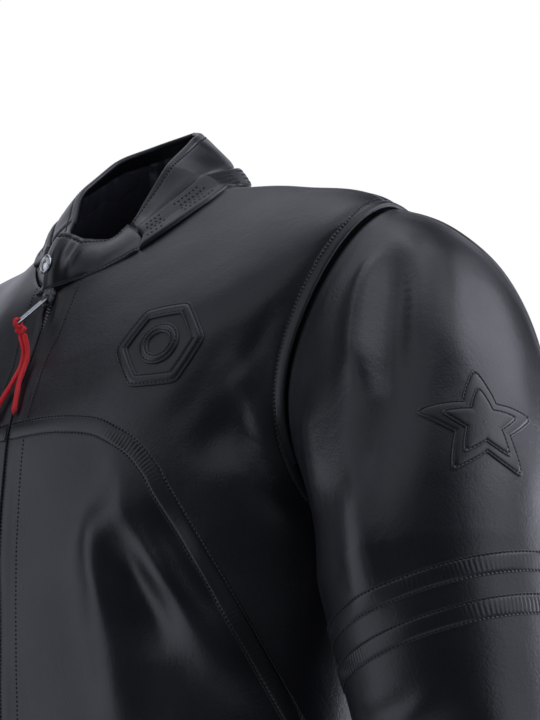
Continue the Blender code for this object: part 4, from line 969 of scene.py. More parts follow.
# Strips: profile points as (across, height) in mm, stitch rows as places across.
band = {"profile": ((-6.75, -0.35), (-6.65, 0.15), (-6.45, 0.42), (-6.1, 0.50), (-5.7, 0.34), (-5.4, 0.36),
                    (-5.0, 0.52), (-4.2, 0.68), (-3.0, 0.78), (-1.5, 0.84), (0, 0.86), (1.5, 0.84),
                    (3.0, 0.78), (4.2, 0.68), (5.0, 0.52), (5.4, 0.36), (5.7, 0.34), (6.1, 0.50),
                    (6.45, 0.42), (6.65, 0.15), (6.75, -0.35)),
        "rows": (-5.6, 5.6), "ruche": 2.9, "ruchePeak": 0.24, "spacing": 0.6, "ringPoints": 760,
        "seeds": {"upper": 11, "lower": 23}}
welt = {"profile": ((0.5, -1.0), (0.7, 0.4), (1.05, 1.5), (1.6, 2.4), (2.4, 2.95), (3.3, 2.9), (4.3, 2.45),
                    (5.3, 1.85), (6.3, 1.2), (7.1, 0.65), (7.7, 0.2), (8.0, -0.4)),
        "fade": math.radians(26), "endShare": 0.25}
stripSink = 0.0004     # how deep a sewn-on piece's underside lies below the skin


# Row of stitches along one column of a piece that runs in a ring or not.
def sewColumn(name, outer, normals, at, lift, ring=True):
    line, out = outer[:, at], normals[:, at]
    if ring:
        line, out = np.vstack([line, line[:1]]), np.vstack([out, out[:1]])
    sewRow(name, line, out, lift)


# A strip laid along a line on a skin, with its profile across and, where asked, puckers between its rows.
def makeStrip(name, skin, normalsFrom, a, b, steps, profile, rows=(), ring=False, towards=None, ruche=None,
              ends=None):
    across, height = np.array(profile).T
    line = skin(a, b)
    if ring:
        a, b = np.append(a, a[0] + 2 * math.pi), np.append(b, b[0])
        wide = np.concatenate([[a[-2] - 2 * math.pi], a, [a[1] + 2 * math.pi]])
        wideB = np.concatenate([[b[-2]], b, [b[1]]])
        a2, b2 = beside(skin, wide, wideB, steps, across, towards)
        a2, b2 = a2[1:-2], b2[1:-2]
        a, b = a[:-1], b[:-1]
    else:
        a2, b2 = beside(skin, a, b, steps, across, towards)
    points, normals = skin(a2, b2), normalsFrom(a2, b2)
    run = lengthsAlong(line) / mm
    top = np.repeat(height[None], len(a), 0)
    if ends is not None:
        top = np.where(top > 0, top * ends[:, None], top)
    if ruche is not None:
        inside = np.clip((band["rows"][1] + 0.3 - np.abs(across)) / 1.6, 0, 1)
        wobble = 1.5 * np.sin(run / 17.0) + 1.1 * np.sin(run / 5.3 + 1.0)
        lean = 2 * math.pi * run[:, None] / band["ruche"] + wobble[:, None] \
            + 0.9 * np.sin(across[None] / 3.4 + run[:, None] / 9.0)
        strength = 0.65 + 0.35 * np.sin(run[:, None] / 6.1 + 0.5 * across[None])
        top = top + band["ruchePeak"] * ruche[:, None] * inside[None] * strength * np.sin(lean)
    outer = points + normals * (top * mm)[..., None]
    inner = points - normals * stripSink
    away = np.full(outer.shape, noRow)
    if len(rows):
        away[..., 0] = np.min([np.abs(across - row) for row in rows], 0)[None]
    runs = np.zeros(outer.shape)
    runs[..., 0] = run[:, None]
    made = wall(name, outer, inner, (trimLeather,), away, runs, ring=ring)
    for row in rows:
        sewColumn(name, outer, normals, int(np.argmin(np.abs(across - row))), 0.22, ring)
    noteSheet(made, name, outer)


# the chest band's middle as (turn, along), and each arm band's edges as levels
chestBandLine = ((0.0, 0.7425), (7.5, 0.7395), (15.4, 0.7268), (20.3, 0.710), (24.9, 0.691), (29.2, 0.665),
                 (32.2, 0.641), (38.9, 0.594), (45.2, 0.552), (52.0, 0.508), (66.0, 0.425), (88.5, 0.310))
armBands = {"upper": (0.425, 0.448), "lower": (0.469, 0.490)}
armBandSlant = 0.015


# Strength of the puckers along a band: strong in some stretches and faint in others.
def rucheAlong(count, seed, always=0.10, stretches=13):
    draw = np.random.default_rng(seed)
    knots = np.clip(draw.uniform(-0.6, 1.3, stretches + 1), 0, 1)
    at = np.linspace(0, stretches, count)
    return always + (1 - always) * smooth(np.interp(at, np.arange(stretches + 1), knots))


# The same line with its points evenly spaced over the skin.
def evenLine(skin, line, spacing):
    points = skin(line[:, 0], line[:, 1])
    arc = lengthsAlong(points)
    at = np.linspace(0, arc[-1], int(arc[-1] / spacing) + 1)
    return np.interp(at, arc, line[:, 0]), np.interp(at, arc, line[:, 1])


def makeBands():
    line = smoothLine(chestBandLine, 400)
    line[0, 0] = turnAt(leather["zipSlit"] + 0.0006, line[0, 1])
    turns, alongs = evenLine(bodyForm, line, band["spacing"] * mm)
    spot = np.linspace(0, 1, len(turns))
    puckers = 0.06 + 0.94 * hump((spot - 0.27) / 0.055, 1) + 0.3 * hump((spot - 0.7) / 0.1, 1)
    for label, side in (("left", 1), ("right", -1)):
        makeStrip("chest_band_" + label, bodySkin, bodyNormals, turns * side, alongs, bodySteps,
                  band["profile"], band["rows"], ruche=puckers)
    for level, (first, last) in armBands.items():
        beta = np.linspace(0, 2 * math.pi, band["ringPoints"], endpoint=False)
        middle = (first + last) / 2 - armBandSlant * np.cos(beta) + armBandSlant * np.sin(beta)
        for label, side in (("left", 1), ("right", -1)):
            skin = lambda a, b, s=side: sleeveSkin(a, b, s)
            out = lambda a, b, s=side: sleeveNormals(a, b, s)
            makeStrip(f"arm_band_{level}_{label}", skin, out, beta, middle, sleeveSteps, band["profile"],
                      band["rows"], ring=True, ruche=rucheAlong(len(beta), band["seeds"][level]))


def makeWelts():
    beta = np.linspace(-leather["weltSpan"], leather["weltSpan"], 300)
    turns, alongs = armholeTurn(beta), armholeLevel(beta)
    fromEnd = smooth((leather["weltSpan"] - np.abs(beta)) / welt["fade"])
    ends = welt["endShare"] + (1 - welt["endShare"]) * fromEnd
    for label, side in (("left", 1), ("right", -1)):
        centre = armholeLoop.mean(0) * (side, 1, 1)
        towards = bodyForm(turns * side, alongs) - centre
        makeStrip("armhole_welt_" + label, bodySkin, bodyNormals, turns * side, alongs, bodySteps,
                  welt["profile"], towards=towards, ends=ends)


makeBands()
makeWelts()
print("bands and welts made")

# Badges of plain shapes on the left side, each an applied piece with a raised, stitched outline.
badges = {"nutMiddle": (27.5, 0.814), "nutRadius": 29.0, "nutStrip": 9.0, "washerRadius": 11.5,
          "washerStrip": 7.0, "starMiddle": (24.0, 0.300), "starRadius": 41.0, "starInner": 0.46,
          "starTop": 0.66, "starLift": 1.3, "rowInset": 1.6, "starRow": 1.5, "threadLift": 0.2}


# Skin parameters of points given in mm on the tangent plane at a place.
def ontoSkin(skin, middle, steps, flat):
    a0, b0 = (np.array(float(v)) for v in middle)
    point = skin(a0, b0)
    normal = normalsOf(skin, a0, b0, *steps)
    up = unit(np.array((0.0, 0.0, 1.0)) - normal * normal[2])
    side = unit(np.cross(up, normal))
    a, b = np.full(flat.shape[:-1], float(a0)), np.full(flat.shape[:-1], float(b0))
    for _ in range(5):
        here = skin(a, b) - point
        da = (skin(a + steps[0], b) - skin(a - steps[0], b)) / (2 * steps[0])
        db = (skin(a, b + steps[1]) - skin(a, b - steps[1])) / (2 * steps[1])
        rest = flat * mm - np.stack([here @ side, here @ up], -1)
        m11, m12, m21, m22 = da @ side, db @ side, da @ up, db @ up
        det = m11 * m22 - m12 * m21
        a = a + (rest[..., 0] * m22 - rest[..., 1] * m12) / det
        b = b + (rest[..., 1] * m11 - rest[..., 0] * m21) / det
    return a, b


def polygonOutline(radius, corners, count, rounding):
    angle = np.linspace(0, 2 * math.pi, count, endpoint=False)
    sector = np.mod(angle, 2 * math.pi / corners) - math.pi / corners
    reach = radius * ((1 - rounding) * math.cos(math.pi / corners) / np.cos(sector) + rounding)
    return np.stack([reach * np.cos(angle), reach * np.sin(angle)], 1)


def starOutline(radius, inner, count):
    angle = np.linspace(0, 2 * math.pi, count, endpoint=False)
    wave = np.abs(np.mod((angle - math.pi / 2) * 5 / (2 * math.pi), 1) * 2 - 1)
    reach = radius * np.clip(inner / (inner + (1 - inner) * (1 - wave) + 1e-9), inner, 0.94)
    return np.stack([reach * np.cos(angle), reach * np.sin(angle)], 1)


def softened(outline, times):
    for _ in range(times):
        outline = (np.roll(outline, 1, 0) + 2 * outline + np.roll(outline, -1, 0)) / 4
    return outline


def makeRingBadge(name, outline, width):
    tangent = unit(np.roll(outline, -1, 0) - np.roll(outline, 1, 0))
    across = np.stack([tangent[:, 1], -tangent[:, 0]], 1)
    half = width / 2
    inset = badges["rowInset"]
    profile = [(-half - 0.1, -0.3), (-half, 0.7), (-half + 0.4, 1.15), (-half + 1.0, 1.3), (-half + inset, 0.85),
               (-half + 2.3, 1.35), (0, 1.75), (half - 2.3, 1.35), (half - inset, 0.85), (half - 1.0, 1.3),
               (half - 0.4, 1.15), (half, 0.7), (half + 0.1, -0.3)]
    places, height = np.array(profile).T
    flat = outline[:, None] + across[:, None] * places[None, :, None]
    a, b = ontoSkin(bodySkin, badges["nutMiddle"], bodySteps, flat)
    points, normals = bodySkin(a, b), bodyNormals(a, b)
    outer = points + normals * (height * mm)[None, :, None]
    away, runs = np.full(outer.shape, noRow), np.zeros(outer.shape)
    rowsAt = [half - inset, -half + inset]
    away[..., 0] = np.min([np.abs(places - row) for row in rowsAt], 0)[None]
    runs[..., 0] = lengthsAlong(points[:, len(places) // 2])[:, None] / mm
    made = wall(name, outer, points - normals * stripSink, (trimLeather,), away, runs, ring=True)
    for row in rowsAt:
        sewColumn(name, outer, normals, int(np.argmin(np.abs(places - row))), badges["threadLift"])
    noteSheet(made, name, outer)


# A star of one leather layer: rings from its edge inwards, closed by small rings at its middle.
def makeStarLayer(name, size, lift):
    edge, inset = badges["starRadius"] * size, badges["starRow"]
    outline = softened(starOutline(edge, badges["starInner"], 220), 3)
    insets = np.array((0, 0.0, 0.35, 0.9, 1.5, 2.1, 3.0, 4.5, 7.0, 10.5))
    height = np.array((-0.4, 0.55, 0.95, 1.15, 0.75, 1.15, 1.35, 1.45, 1.5, 1.5))
    inward = 1 - insets / (edge * 0.62)
    centre = inward[-1] * np.array((0.78, 0.55, 0.34, 0.16, 0.02))
    inward = np.append(inward, centre)
    height = np.append(height, np.full(len(centre), height[-1]))
    insets = np.append(insets, np.full(len(centre), noRow))
    flat = outline[:, None] * inward[None, :, None]
    skin = lambda a, b: sleeveSkin(a, b, 1)
    middle = (math.radians(badges["starMiddle"][0]), badges["starMiddle"][1])
    a, b = ontoSkin(skin, middle, sleeveSteps, flat)
    points, normals = skin(a, b), sleeveNormals(a, b, 1)
    outer = points + normals * ((height + lift) * mm)[None, :, None]
    outer[:, 0] = points[:, 0] + normals[:, 0] * (lift - 0.4) * mm
    away, runs = np.full(outer.shape, noRow), np.zeros(outer.shape)
    away[..., 0] = np.abs(insets - inset)[None]
    runs[..., 0] = lengthsAlong(points[:, 4])[:, None] / mm
    under = points + normals * (max(lift, 0) - 0.4) * mm
    made = wall(name, outer[:, ::-1], under[:, ::-1], (trimLeather,), away[:, ::-1], runs[:, ::-1],
                ring=True, cap=True)
    sewColumn(name, outer, normals, int(np.argmin(np.abs(insets - inset))), badges["threadLift"])
    noteSheet(made, name, outer)


makeRingBadge("chest_badge_nut", softened(polygonOutline(badges["nutRadius"], 6, 240, 0.10), 6),
              badges["nutStrip"])
makeRingBadge("chest_badge_washer", polygonOutline(badges["washerRadius"], 20, 120, 1.0), badges["washerStrip"])
makeStarLayer("sleeve_badge_plate", 1.0, 0.0)
makeStarLayer("sleeve_badge_top", badges["starTop"], badges["starLift"])
print("badges made")

# Stand collar: places on it are (turn, distance up from the neck seam, distance out), in metres.
collar = {"roll": 2.1, "tabRoll": 1.0, "rightRoll": 1.5, "leg": 7.0, "skin": 1.1,
          "lowEdge": (0, 0.3, 0.8, 1.4, 2.2, 3.2, 4.6), "topRow": 2.4, "lowRow": 2.2, "footing": 0.015,
          "topEdge": (0, 0.6, 1.2, 1.8, 2.4, 3.0, 3.8, 5.0, 6.5), "gather": 1.4, "facingDrop": 5.0,
          "tabEnd": -17.0, "tabCurl": 0.3, "rightFoot": 0.30, "footLean": 6.0, "backLift": 4.0,
          "foot": ((0, 0), (15, 0), (22, 0.006), (32, 0.0125), (42, 0.0148), (62, 0.0160), (74, 0.0155),
                   (90, 0.0085), (106, 0.001), (180, 0))}
# how the tab pulls the right end of the collar in and forward: mm, way, turns, and mm up from the neck seam
tabPull = {"depth": 7.5, "way": (-0.62, -0.78, 0), "from": -9, "over": 14, "lost": -85, "fade": 45,
           "low": 0.3, "lowUp": -2, "upOver": 8}


def collarLength(turn):
    return np.linalg.norm(collarForm(turn, 1.0) - collarForm(turn, 0.0), axis=-1)


# Metres down the shoulder for each unit of along, next to the neck seam.
def footScale(turn):
    return np.linalg.norm(bodySkin(turn, 1.0 + 0 * turn) - bodySkin(turn, 0.98 + 0 * turn), axis=-1) / 0.02


# Points and normals of places on the collar. Below the neck seam its foot lies on the shoulder, and its
# end seam leans to the front.
def collarPlace(turn, up, out):
    byEnd = hump((turn - leather["collarFrontEnd"]) / 25, 1)
    turn = turn - collar["footLean"] * np.clip(-up / mm / 13, 0, 1) * byEnd
    rise = up / collarLength(turn[:, 0])[:, None]
    below = 1 + np.minimum(up, 0) / footScale(turn)
    footing = bodySkin(turn, below) - bodySkin(turn, np.ones_like(below))
    point = settled(collarForm(turn, np.maximum(rise, 0))) + footing
    signed = np.mod(turn + 180, 360) - 180
    pulled = tabPull["depth"] * mm * smooth((tabPull["from"] - signed) / tabPull["over"]) \
        * smooth((signed - tabPull["lost"]) / tabPull["fade"]) \
        * (tabPull["low"] + (1 - tabPull["low"]) * smooth((up / mm - tabPull["lowUp"]) / tabPull["upOver"]))
    point = point - pulled[..., None] * np.array(tabPull["way"])
    onCollar = normalsOf(collarForm, turn, np.clip(rise, 0.02, 0.98), 0.5, 0.01)
    onBody = normalsOf(bodySkin, turn, np.minimum(below, 0.992), *bodySteps)
    normal = unit(onBody + (onCollar - onBody) * smooth((up / mm + 3) / 6)[..., None])
    return point + normal * out[..., None], normal


# How far the foot reaches down over the shoulder, in metres.
def footDrop(turn):
    fromFront = np.minimum(np.mod(turn, 360), 360 - np.mod(turn, 360))
    kept = np.where(np.mod(turn, 360) > 180, collar["rightFoot"], 1.0)
    return np.interp(fromFront, *np.array(collar["foot"]).T) * footScale(turn) * kept


# How much higher the collar stands at the back than its tables say.
def backLift(turn):
    turn = np.mod(turn, 360)
    return collar["backLift"] * mm * smooth((np.minimum(turn, 360 - turn) - 95) / 40)


# How far the tab stands out: over the right collar end, then curling in a little at its own end.
def tabOut(turn):
    over = leather["tabLift"] * smooth((15 - turn) / 11) + 1.0 * mm * smooth((turn - 10) / 10)
    return over - collar["tabCurl"] * mm * smooth((-1.0 - turn) / 13)


# A collar piece whose top edge rolls over to the inside, with its lower edge at the given rise.
def makeRolled(name, turns, lowRise, base, puff, foldedLow, endKinds, roll):
    length = collarLength(turns)
    low = length * lowRise(turns) - (0 if name == "collar_band" else footDrop(turns))
    span = length + backLift(turns) - low - roll
    at = stations(span, collar["lowEdge"], collar["topEdge"], 9)
    angles = np.radians((15, 35, 60, 90, 120, 150, 170))
    drops = np.array((0.6, 2.0, 3.6, 5.2, 6.4, collar["leg"])) * mm
    count, straight = len(turns), at.shape[1]
    turn = np.repeat(turns[:, None], straight + len(angles) + len(drops), 1)
    top = (low + span)[:, None]
    arcUp, arcOut = roll[:, None] * np.sin(angles), roll[:, None] * (np.cos(angles) - 1)
    thick = collar["skin"] * mm
    inUp = (roll[:, None] - thick) * np.sin(angles)
    inOut = (roll[:, None] - thick) * np.cos(angles) - roll[:, None]
    up = np.hstack([low[:, None] + at, top + arcUp, top - drops[None] * np.ones((count, 1))])
    upIn = np.hstack([low[:, None] + at, top + inUp, top - drops[None] * np.ones((count, 1))])
    face = base(turns)[:, None] + puff(turn[:, :straight], at, span[:, None])
    topAway = np.maximum(span[:, None] - at, 0)
    face = face + rowDent(topAway - collar["topRow"] * mm, 0.32, 0.8)
    back = np.repeat(base(turns)[:, None] - thick, straight, 1)
    if foldedLow:
        face = face + 0.5 * mm * hump(at / mm - 1.0, 0.9) - foldRound(at) * 1.1 \
            + rowDent(at - collar["lowRow"] * mm, 0.4, 0.7)
        back = back + foldRound(at) * 0.4 - thick * 0.7
    else:
        face = face + seamFace(at) * 0.8
        back = back - thick * 0.6
    legOut = (base(turns) - 2 * roll)[:, None] * np.ones((1, len(drops)))
    out = np.hstack([face, base(turns)[:, None] + arcOut, legOut])
    outIn = np.hstack([back, base(turns)[:, None] + inOut, legOut + thick])
    outer, normals = collarPlace(turn, up, out)
    outIn = np.where(upIn < 0, np.maximum(outIn, np.minimum(out, 0) - 0.5 * mm), outIn)
    inner = collarPlace(turn, upIn, outIn)[0]
    for end, kind in zip((0, -1), endKinds):
        border = outer[end]
        away = toLine(outer, border)[0]
        flat = np.arange(outer.shape[1]) < straight
        if kind == "seam":
            outer = outer + normals * (seamFace(away) * 0.8 * flat)[..., None]
        if kind == "folded":
            outer = outer - normals * (foldRound(away) * flat)[..., None]
    away, runs = np.full(outer.shape, noRow), np.zeros(outer.shape)
    away[:, :straight, 0] = (topAway - collar["topRow"] * mm) / mm
    middle = outer[:, straight // 2]
    runs[..., 0] = lengthsAlong(middle)[:, None] / mm
    if foldedLow:
        away[:, :straight, 1] = (at - collar["lowRow"] * mm) / mm
        runs[..., 1] = runs[..., 0]
    made = wall(name, outer, inner, (trimLeather,), away, runs)
    rowsUp = [top[:, 0] - collar["topRow"] * mm] + ([low + collar["lowRow"] * mm] if foldedLow else [])
    for height in rowsUp:
        place = np.array([np.interp(height[k], up[k, :straight], np.arange(straight)) for k in range(count)])
        k0 = np.clip(place.astype(int), 0, straight - 2)
        t = (place - k0)[:, None]
        index = np.arange(count)
        sewRow(name, outer[index, k0] * (1 - t) + outer[index, k0 + 1] * t, normals[index, k0], 0.25)
    noteSheet(made, name, outer)


def turnsBetween(first, last, spacing, dense=()):
    turns = np.linspace(first, last, int(abs(last - first) / spacing) + 1)
    return np.unique(np.round(np.concatenate([turns, np.asarray(dense, float)]), 4))


# The tab's lower edge hangs down into a point at its front end.
def tabLow(turn):
    return 0.01 - 0.17 * hump((turn + 18.5) / 9, 1)


# Padding of the tab: a full body with a dimple by the snap and a swell to each side of it.
def tabPuff(turn, at, span):
    share = at / span
    body = 1.0 * mm * np.sin(math.pi * np.clip(share, 0, 1)) ** 0.8 \
        * smooth((turn + 9) / 8) * smooth((47 - turn) / 10)
    dimple = -1.5 * mm * hump((turn - 13) / 5.5, 1) * hump((share - 0.60) / 0.26, 1)
    swell = 0.8 * mm * hump((turn - 4.5) / 4.5, 1) * hump((share - 0.62) / 0.3, 1)
    crease = 0.9 * mm * hump((turn - 24) / 6, 1) * hump((share - 0.55) / 0.3, 1)
    return body + dimple + swell + crease


def bandPuff(turn, at, span):
    share = np.clip(at / span, 0, 1)
    waves = 0.35 * np.sin(np.radians(turn) * 5.0 + 0.6) + 0.25 * np.sin(np.radians(turn) * 11.0 + share * 2.0)
    return mm * (0.7 * np.sin(math.pi * share) + waves * np.sin(math.pi * share))


def makeCollar():
    front, end = leather["collarFrontEnd"], collar["tabEnd"]
    nearEnd = end + np.array((0.15, 0.5, 1.0, 1.8, 2.8))
    seamTurns = front - np.array((0.3, 0.8, 1.5, 2.5, 3.8, 5.0))
    turns = turnsBetween(end, front, 1.0, np.concatenate([nearEnd, seamTurns]))
    tabRoll = mm * (collar["tabRoll"] + (collar["roll"] - collar["tabRoll"]) * smooth((turns + 2) / 16))
    makeRolled("collar_tab", turns, tabLow, tabOut, tabPuff, True, ("folded", "seam"), tabRoll)
    turns = turnsBetween(360 - front, 360, 1.0, 360 - seamTurns)
    makeRolled("collar_front_right", turns, lambda t: collar["footing"] + 0 * t, lambda t: 0 * t, bandPuff, False,
               ("seam", "folded"), np.full(len(turns), collar["rightRoll"] * mm))
    beyond = np.concatenate([2 * front - seamTurns, 360 - 2 * front + seamTurns])
    around = turnsBetween(front, 360 - front, 1.0, beyond)
    makeRolled("collar_band", around, lambda t: leather["stripRise"] + 0 * t, lambda t: 0 * t, bandPuff, False,
               ("seam", "seam"), np.full(len(around), collar["roll"] * mm))
    makeStripPad(around)
    makeFacing()


# The padded, perforated strip along the foot of the collar.
pad = {"edge": (0, 0.08, 0.3, 0.7, 1.2, 1.9, 2.8), "height": 2.4, "lift": 0.5, "round": 2.4, "step": 3.6,
       "rows": (0.22, 0.78, 4), "wave": 0.25, "waves": 9, "holeRadius": 0.80, "holeDepth": 0.30}
holeSpots = {"points": [], "ways": []}


def padHeight(fromEdge):
    inward = 1 - np.clip(fromEdge / (pad["round"] * mm), 0, 1)
    return (pad["lift"] + pad["height"] * np.sqrt(1 - inward ** 2)) * mm


def padWave(turn, share):
    return pad["wave"] * mm * np.sin(np.radians(turn) * pad["waves"]) * np.sin(math.pi * share)


# The strip itself, and the spots of its perforations: rows of holes in clusters.
def makeStripPad(turns):
    length = collarLength(turns)
    low = length * collar["footing"] - footDrop(turns)
    span = length * leather["stripRise"] - low
    at = stations(span, pad["edge"], pad["edge"], 8)
    turn = np.repeat(turns[:, None], at.shape[1], 1)
    toEnd = np.minimum(turns - turns[0], turns[-1] - turns)[:, None] * 0.9 * mm
    height = padHeight(np.minimum(np.minimum(at, span[:, None] - at), toEnd + 0.2 * mm))
    outer = collarPlace(turn, low[:, None] + at, height + padWave(turn, at / span[:, None]))[0]
    height = np.where(low[:, None] + at < 0, -0.5, -2.2) * mm
    inner = collarPlace(turn, low[:, None] + at, height)[0]
    made = wall("collar_strip", outer, inner, (trimLeather,))
    noteSheet(made, "collar_strip", outer)
    middle = outer[:, at.shape[1] // 2]
    runs = lengthsAlong(middle) / mm
    total = runs[-1]
    draw = np.random.default_rng(5)
    spots = []
    for index, row in enumerate(np.linspace(*pad["rows"])):
        for place in np.arange(6.0 + (index % 2) * pad["step"] / 2, total - 6.0, pad["step"]):
            if 0.5 + 0.5 * math.sin(place / 6.0 + 0.4) > 0.30:
                spots.append((place + draw.uniform(-0.15, 0.15), row + draw.uniform(-0.012, 0.012)))
    place, row = np.array(spots).T
    holeTurn = np.interp(place, runs, turns)
    upTo = np.interp(holeTurn, turns, low) + np.interp(holeTurn, turns, span) * row
    fromEdge = np.interp(holeTurn, turns, span) * np.minimum(row, 1 - row)
    bulge = padHeight(fromEdge) + padWave(holeTurn, row)
    spot, way = collarPlace(holeTurn[:, None], upTo[:, None], bulge[:, None])
    holeSpots["points"], holeSpots["ways"] = spot[:, 0], way[:, 0]


# Gathered lining leather inside the collar, under the rolled edge.
def makeFacing():
    turns = turnsBetween(4, 356, 0.7)
    length = collarLength(turns)
    fromZip = np.minimum(turns, 360 - turns)
    low = length * collar["footing"] - collar["facingDrop"] * mm * smooth((fromZip - 20) / 15)
    span = length + backLift(turns) - collar["roll"] * mm - (collar["leg"] - 1.2) * mm - low
    at = stations(span, (0, 1.0, 2.5), (0, 0.5, 1.0, 1.7, 2.6, 3.8, 5.2), 8)
    turn = np.repeat(turns[:, None], at.shape[1], 1)
    away = (span[:, None] - at) / mm
    around = np.radians(turn)
    folds = np.sin(around * 23 + 1.4 * np.sin(around * 3)) * 0.6 \
        + np.sin(around * 41 + 2.0 * np.sin(around * 2 + 1)) * 0.4
    gather = collar["gather"] * folds * smooth(away / 2.5) * np.exp(-away / 16)
    swell = 1.5 * smooth(away / 5) * smooth(at / span[:, None] / 0.3)
    nearTab = smooth((turn - 15) / 20) * smooth((345 - turn) / 15)
    out = -(3.0 + (swell + gather) * (0.25 + 0.75 * nearTab)) * mm
    outer = collarPlace(turn, low[:, None] + at, out)[0]
    inner = collarPlace(turn, low[:, None] + at, np.minimum(out + 0.9 * mm, -2.25 * mm))[0]
    made = wall("collar_facing", outer, inner, (liningLeather,))
    noteSheet(made, "collar_facing", outer, "lining leather")


makeCollar()
print("collar made, with", len(holeSpots["points"]), "perforations")

# Turned steel snap on the tab.
snap = {"turn": -7.0, "up": 17.2, "sides": 48,
        "profile": ((6.3, -0.2), (6.6, 0.2), (6.65, 0.8), (6.4, 1.35), (5.9, 1.65), (5.3, 1.6), (4.95, 1.2),
                    (4.8, 0.9), (4.5, 0.95), (4.1, 1.3), (3.3, 1.75), (2.2, 2.1), (1.1, 2.3), (0.25, 2.35))}


def makeSnap():
    near = snap["turn"] + np.array([[-3.0], [0.0], [3.0], [0.0], [0.0]])
    up = snap["up"] + np.array([[0.0], [-3.0], [0.0], [3.0], [0.0]])
    spots = collarPlace(near, up * mm, tabOut(near) + 0.9 * mm)[0][:, 0]
    normal = unit(np.cross(spots[2] - spots[0], spots[3] - spots[1]))
    centre = spots[4]
    first = unit(np.cross(normal, (0.3, 0.2, 1.0)))
    second = np.cross(normal, first)
    angle = np.linspace(0, 2 * math.pi, snap["sides"], endpoint=False)
    rim = np.cos(angle)[:, None] * first + np.sin(angle)[:, None] * second
    points, faces, sides = [], [], snap["sides"]
    for radius, height in snap["profile"]:
        points += (centre + normal * height * mm + rim * radius * mm).tolist()
    for k in range(len(snap["profile"]) - 1):
        for i in range(sides):
            j = (i + 1) % sides
            faces.append((k * sides + i, k * sides + j, (k + 1) * sides + j, (k + 1) * sides + i))
    faces.append(tuple(reversed(range(sides))))
    faces.append(tuple(range(len(points) - sides, len(points))))
    mesh = bpy.data.meshes.new("collar_snap_cap")
    mesh.from_pydata(points, [], faces)
    mesh.materials.append(snapSteel)
    mesh.shade_smooth()
    mesh.set_sharp_from_angle(angle=math.radians(50))
    return linkMesh("collar_snap_cap", mesh)


snapCap = makeSnap()


# What repeats is grown by Geometry Nodes on seed points or lines.
def treeIn(name, sockets):
    geometry = [("Geometry", "NodeSocketGeometry", None)]
    return newGroup(name, "GeometryNodeTree", geometry + sockets + [("Material", "NodeSocketMaterial", None)],
                    [("Geometry", "NodeSocketGeometry")])


def finishTree(tree, geometry, given, result):
    real = addNode(tree, "GeometryNodeRealizeInstances", {0: geometry}).outputs[0]
    shaded = addNode(tree, "GeometryNodeSetShadeSmooth", {0: real}).outputs[0]
    feed(tree, result["Geometry"], addNode(tree, "GeometryNodeSetMaterial", {
        "Geometry": shaded, "Material": given["Material"]}).outputs[0])


def makeStitchTree():
    tree, given, result = treeIn("stitch rows", [
        ("Pitch", "NodeSocketFloat", 2.8 * mm), ("Length", "NodeSocketFloat", 2.3 * mm),
        ("Width", "NodeSocketFloat", 0.6 * mm)])
    line = addNode(tree, "GeometryNodeMeshToCurve", {"Mesh": given["Geometry"]}).outputs[0]
    spots = addNode(tree, "GeometryNodeCurveToPoints", {"Curve": line, "Length": given["Pitch"]},
                    mode="LENGTH").outputs
    ball = addNode(tree, "GeometryNodeMeshUVSphere", {"Segments": 6, "Rings": 5, "Radius": 0.5}).outputs[0]
    size = addNode(tree, "ShaderNodeCombineXYZ", {"X": given["Width"], "Y": given["Width"],
                                                  "Z": given["Length"]}).outputs[0]
    made = addNode(tree, "GeometryNodeInstanceOnPoints", {"Points": spots["Points"], "Instance": ball,
                                                          "Rotation": spots["Rotation"], "Scale": size}).outputs[0]
    finishTree(tree, made, given, result)
    return tree


def wayRotation(tree):
    way = addNode(tree, "GeometryNodeInputNamedAttribute", {"Name": "way"},
                  data_type="FLOAT_VECTOR").outputs["Attribute"]
    return addNode(tree, "FunctionNodeAlignRotationToVector", {"Vector": way}, axis="Z").outputs[0]


def makeToothTree():
    tree, given, result = treeIn("zip teeth", [
        ("Width", "NodeSocketFloat", 3.1 * mm), ("Depth", "NodeSocketFloat", 1.5 * mm),
        ("Height", "NodeSocketFloat", 1.0 * mm)])
    size = addNode(tree, "ShaderNodeCombineXYZ", {"X": given["Width"], "Y": given["Depth"],
                                                  "Z": given["Height"]}).outputs[0]
    block = addNode(tree, "GeometryNodeMeshCube", {"Size": size}).outputs[0]
    soft = addNode(tree, "GeometryNodeSubdivisionSurface", {"Mesh": block, "Level": 1,
                                                            "Edge Crease": 0.55}).outputs[0]
    made = addNode(tree, "GeometryNodeInstanceOnPoints", {"Points": given["Geometry"], "Instance": soft,
                                                          "Rotation": wayRotation(tree)}).outputs[0]
    finishTree(tree, made, given, result)
    return tree


def makeHoleTree():
    tree, given, result = treeIn("perforations", [
        ("Radius", "NodeSocketFloat", 0.45 * mm), ("Depth", "NodeSocketFloat", 0.16 * mm)])
    disc = addNode(tree, "GeometryNodeMeshCylinder", {"Vertices": 10, "Radius": given["Radius"],
                                                      "Depth": given["Depth"]}, fill_type="NGON").outputs[0]
    made = addNode(tree, "GeometryNodeInstanceOnPoints", {"Points": given["Geometry"], "Instance": disc,
                                                          "Rotation": wayRotation(tree)}).outputs[0]
    finishTree(tree, made, given, result)
    return tree


# The mesh that a node tree makes of a seed mesh, under a name of its own.
def grow(name, tree, mesh, values):
    seed = linkMesh(name + "Seed", mesh)
    growing = seed.modifiers.new("grow", "NODES")
    growing.node_group = tree
    for item in tree.interface.items_tree:
        if item.item_type == "SOCKET" and item.in_out == "INPUT" and item.name in values:
            growing[item.identifier] = values[item.name]
    graph = bpy.context.evaluated_depsgraph_get()
    plain = bpy.data.meshes.new_from_object(seed.evaluated_get(graph))
    bpy.data.objects.remove(seed)
    plain.name = name
    return linkMesh(name, plain)


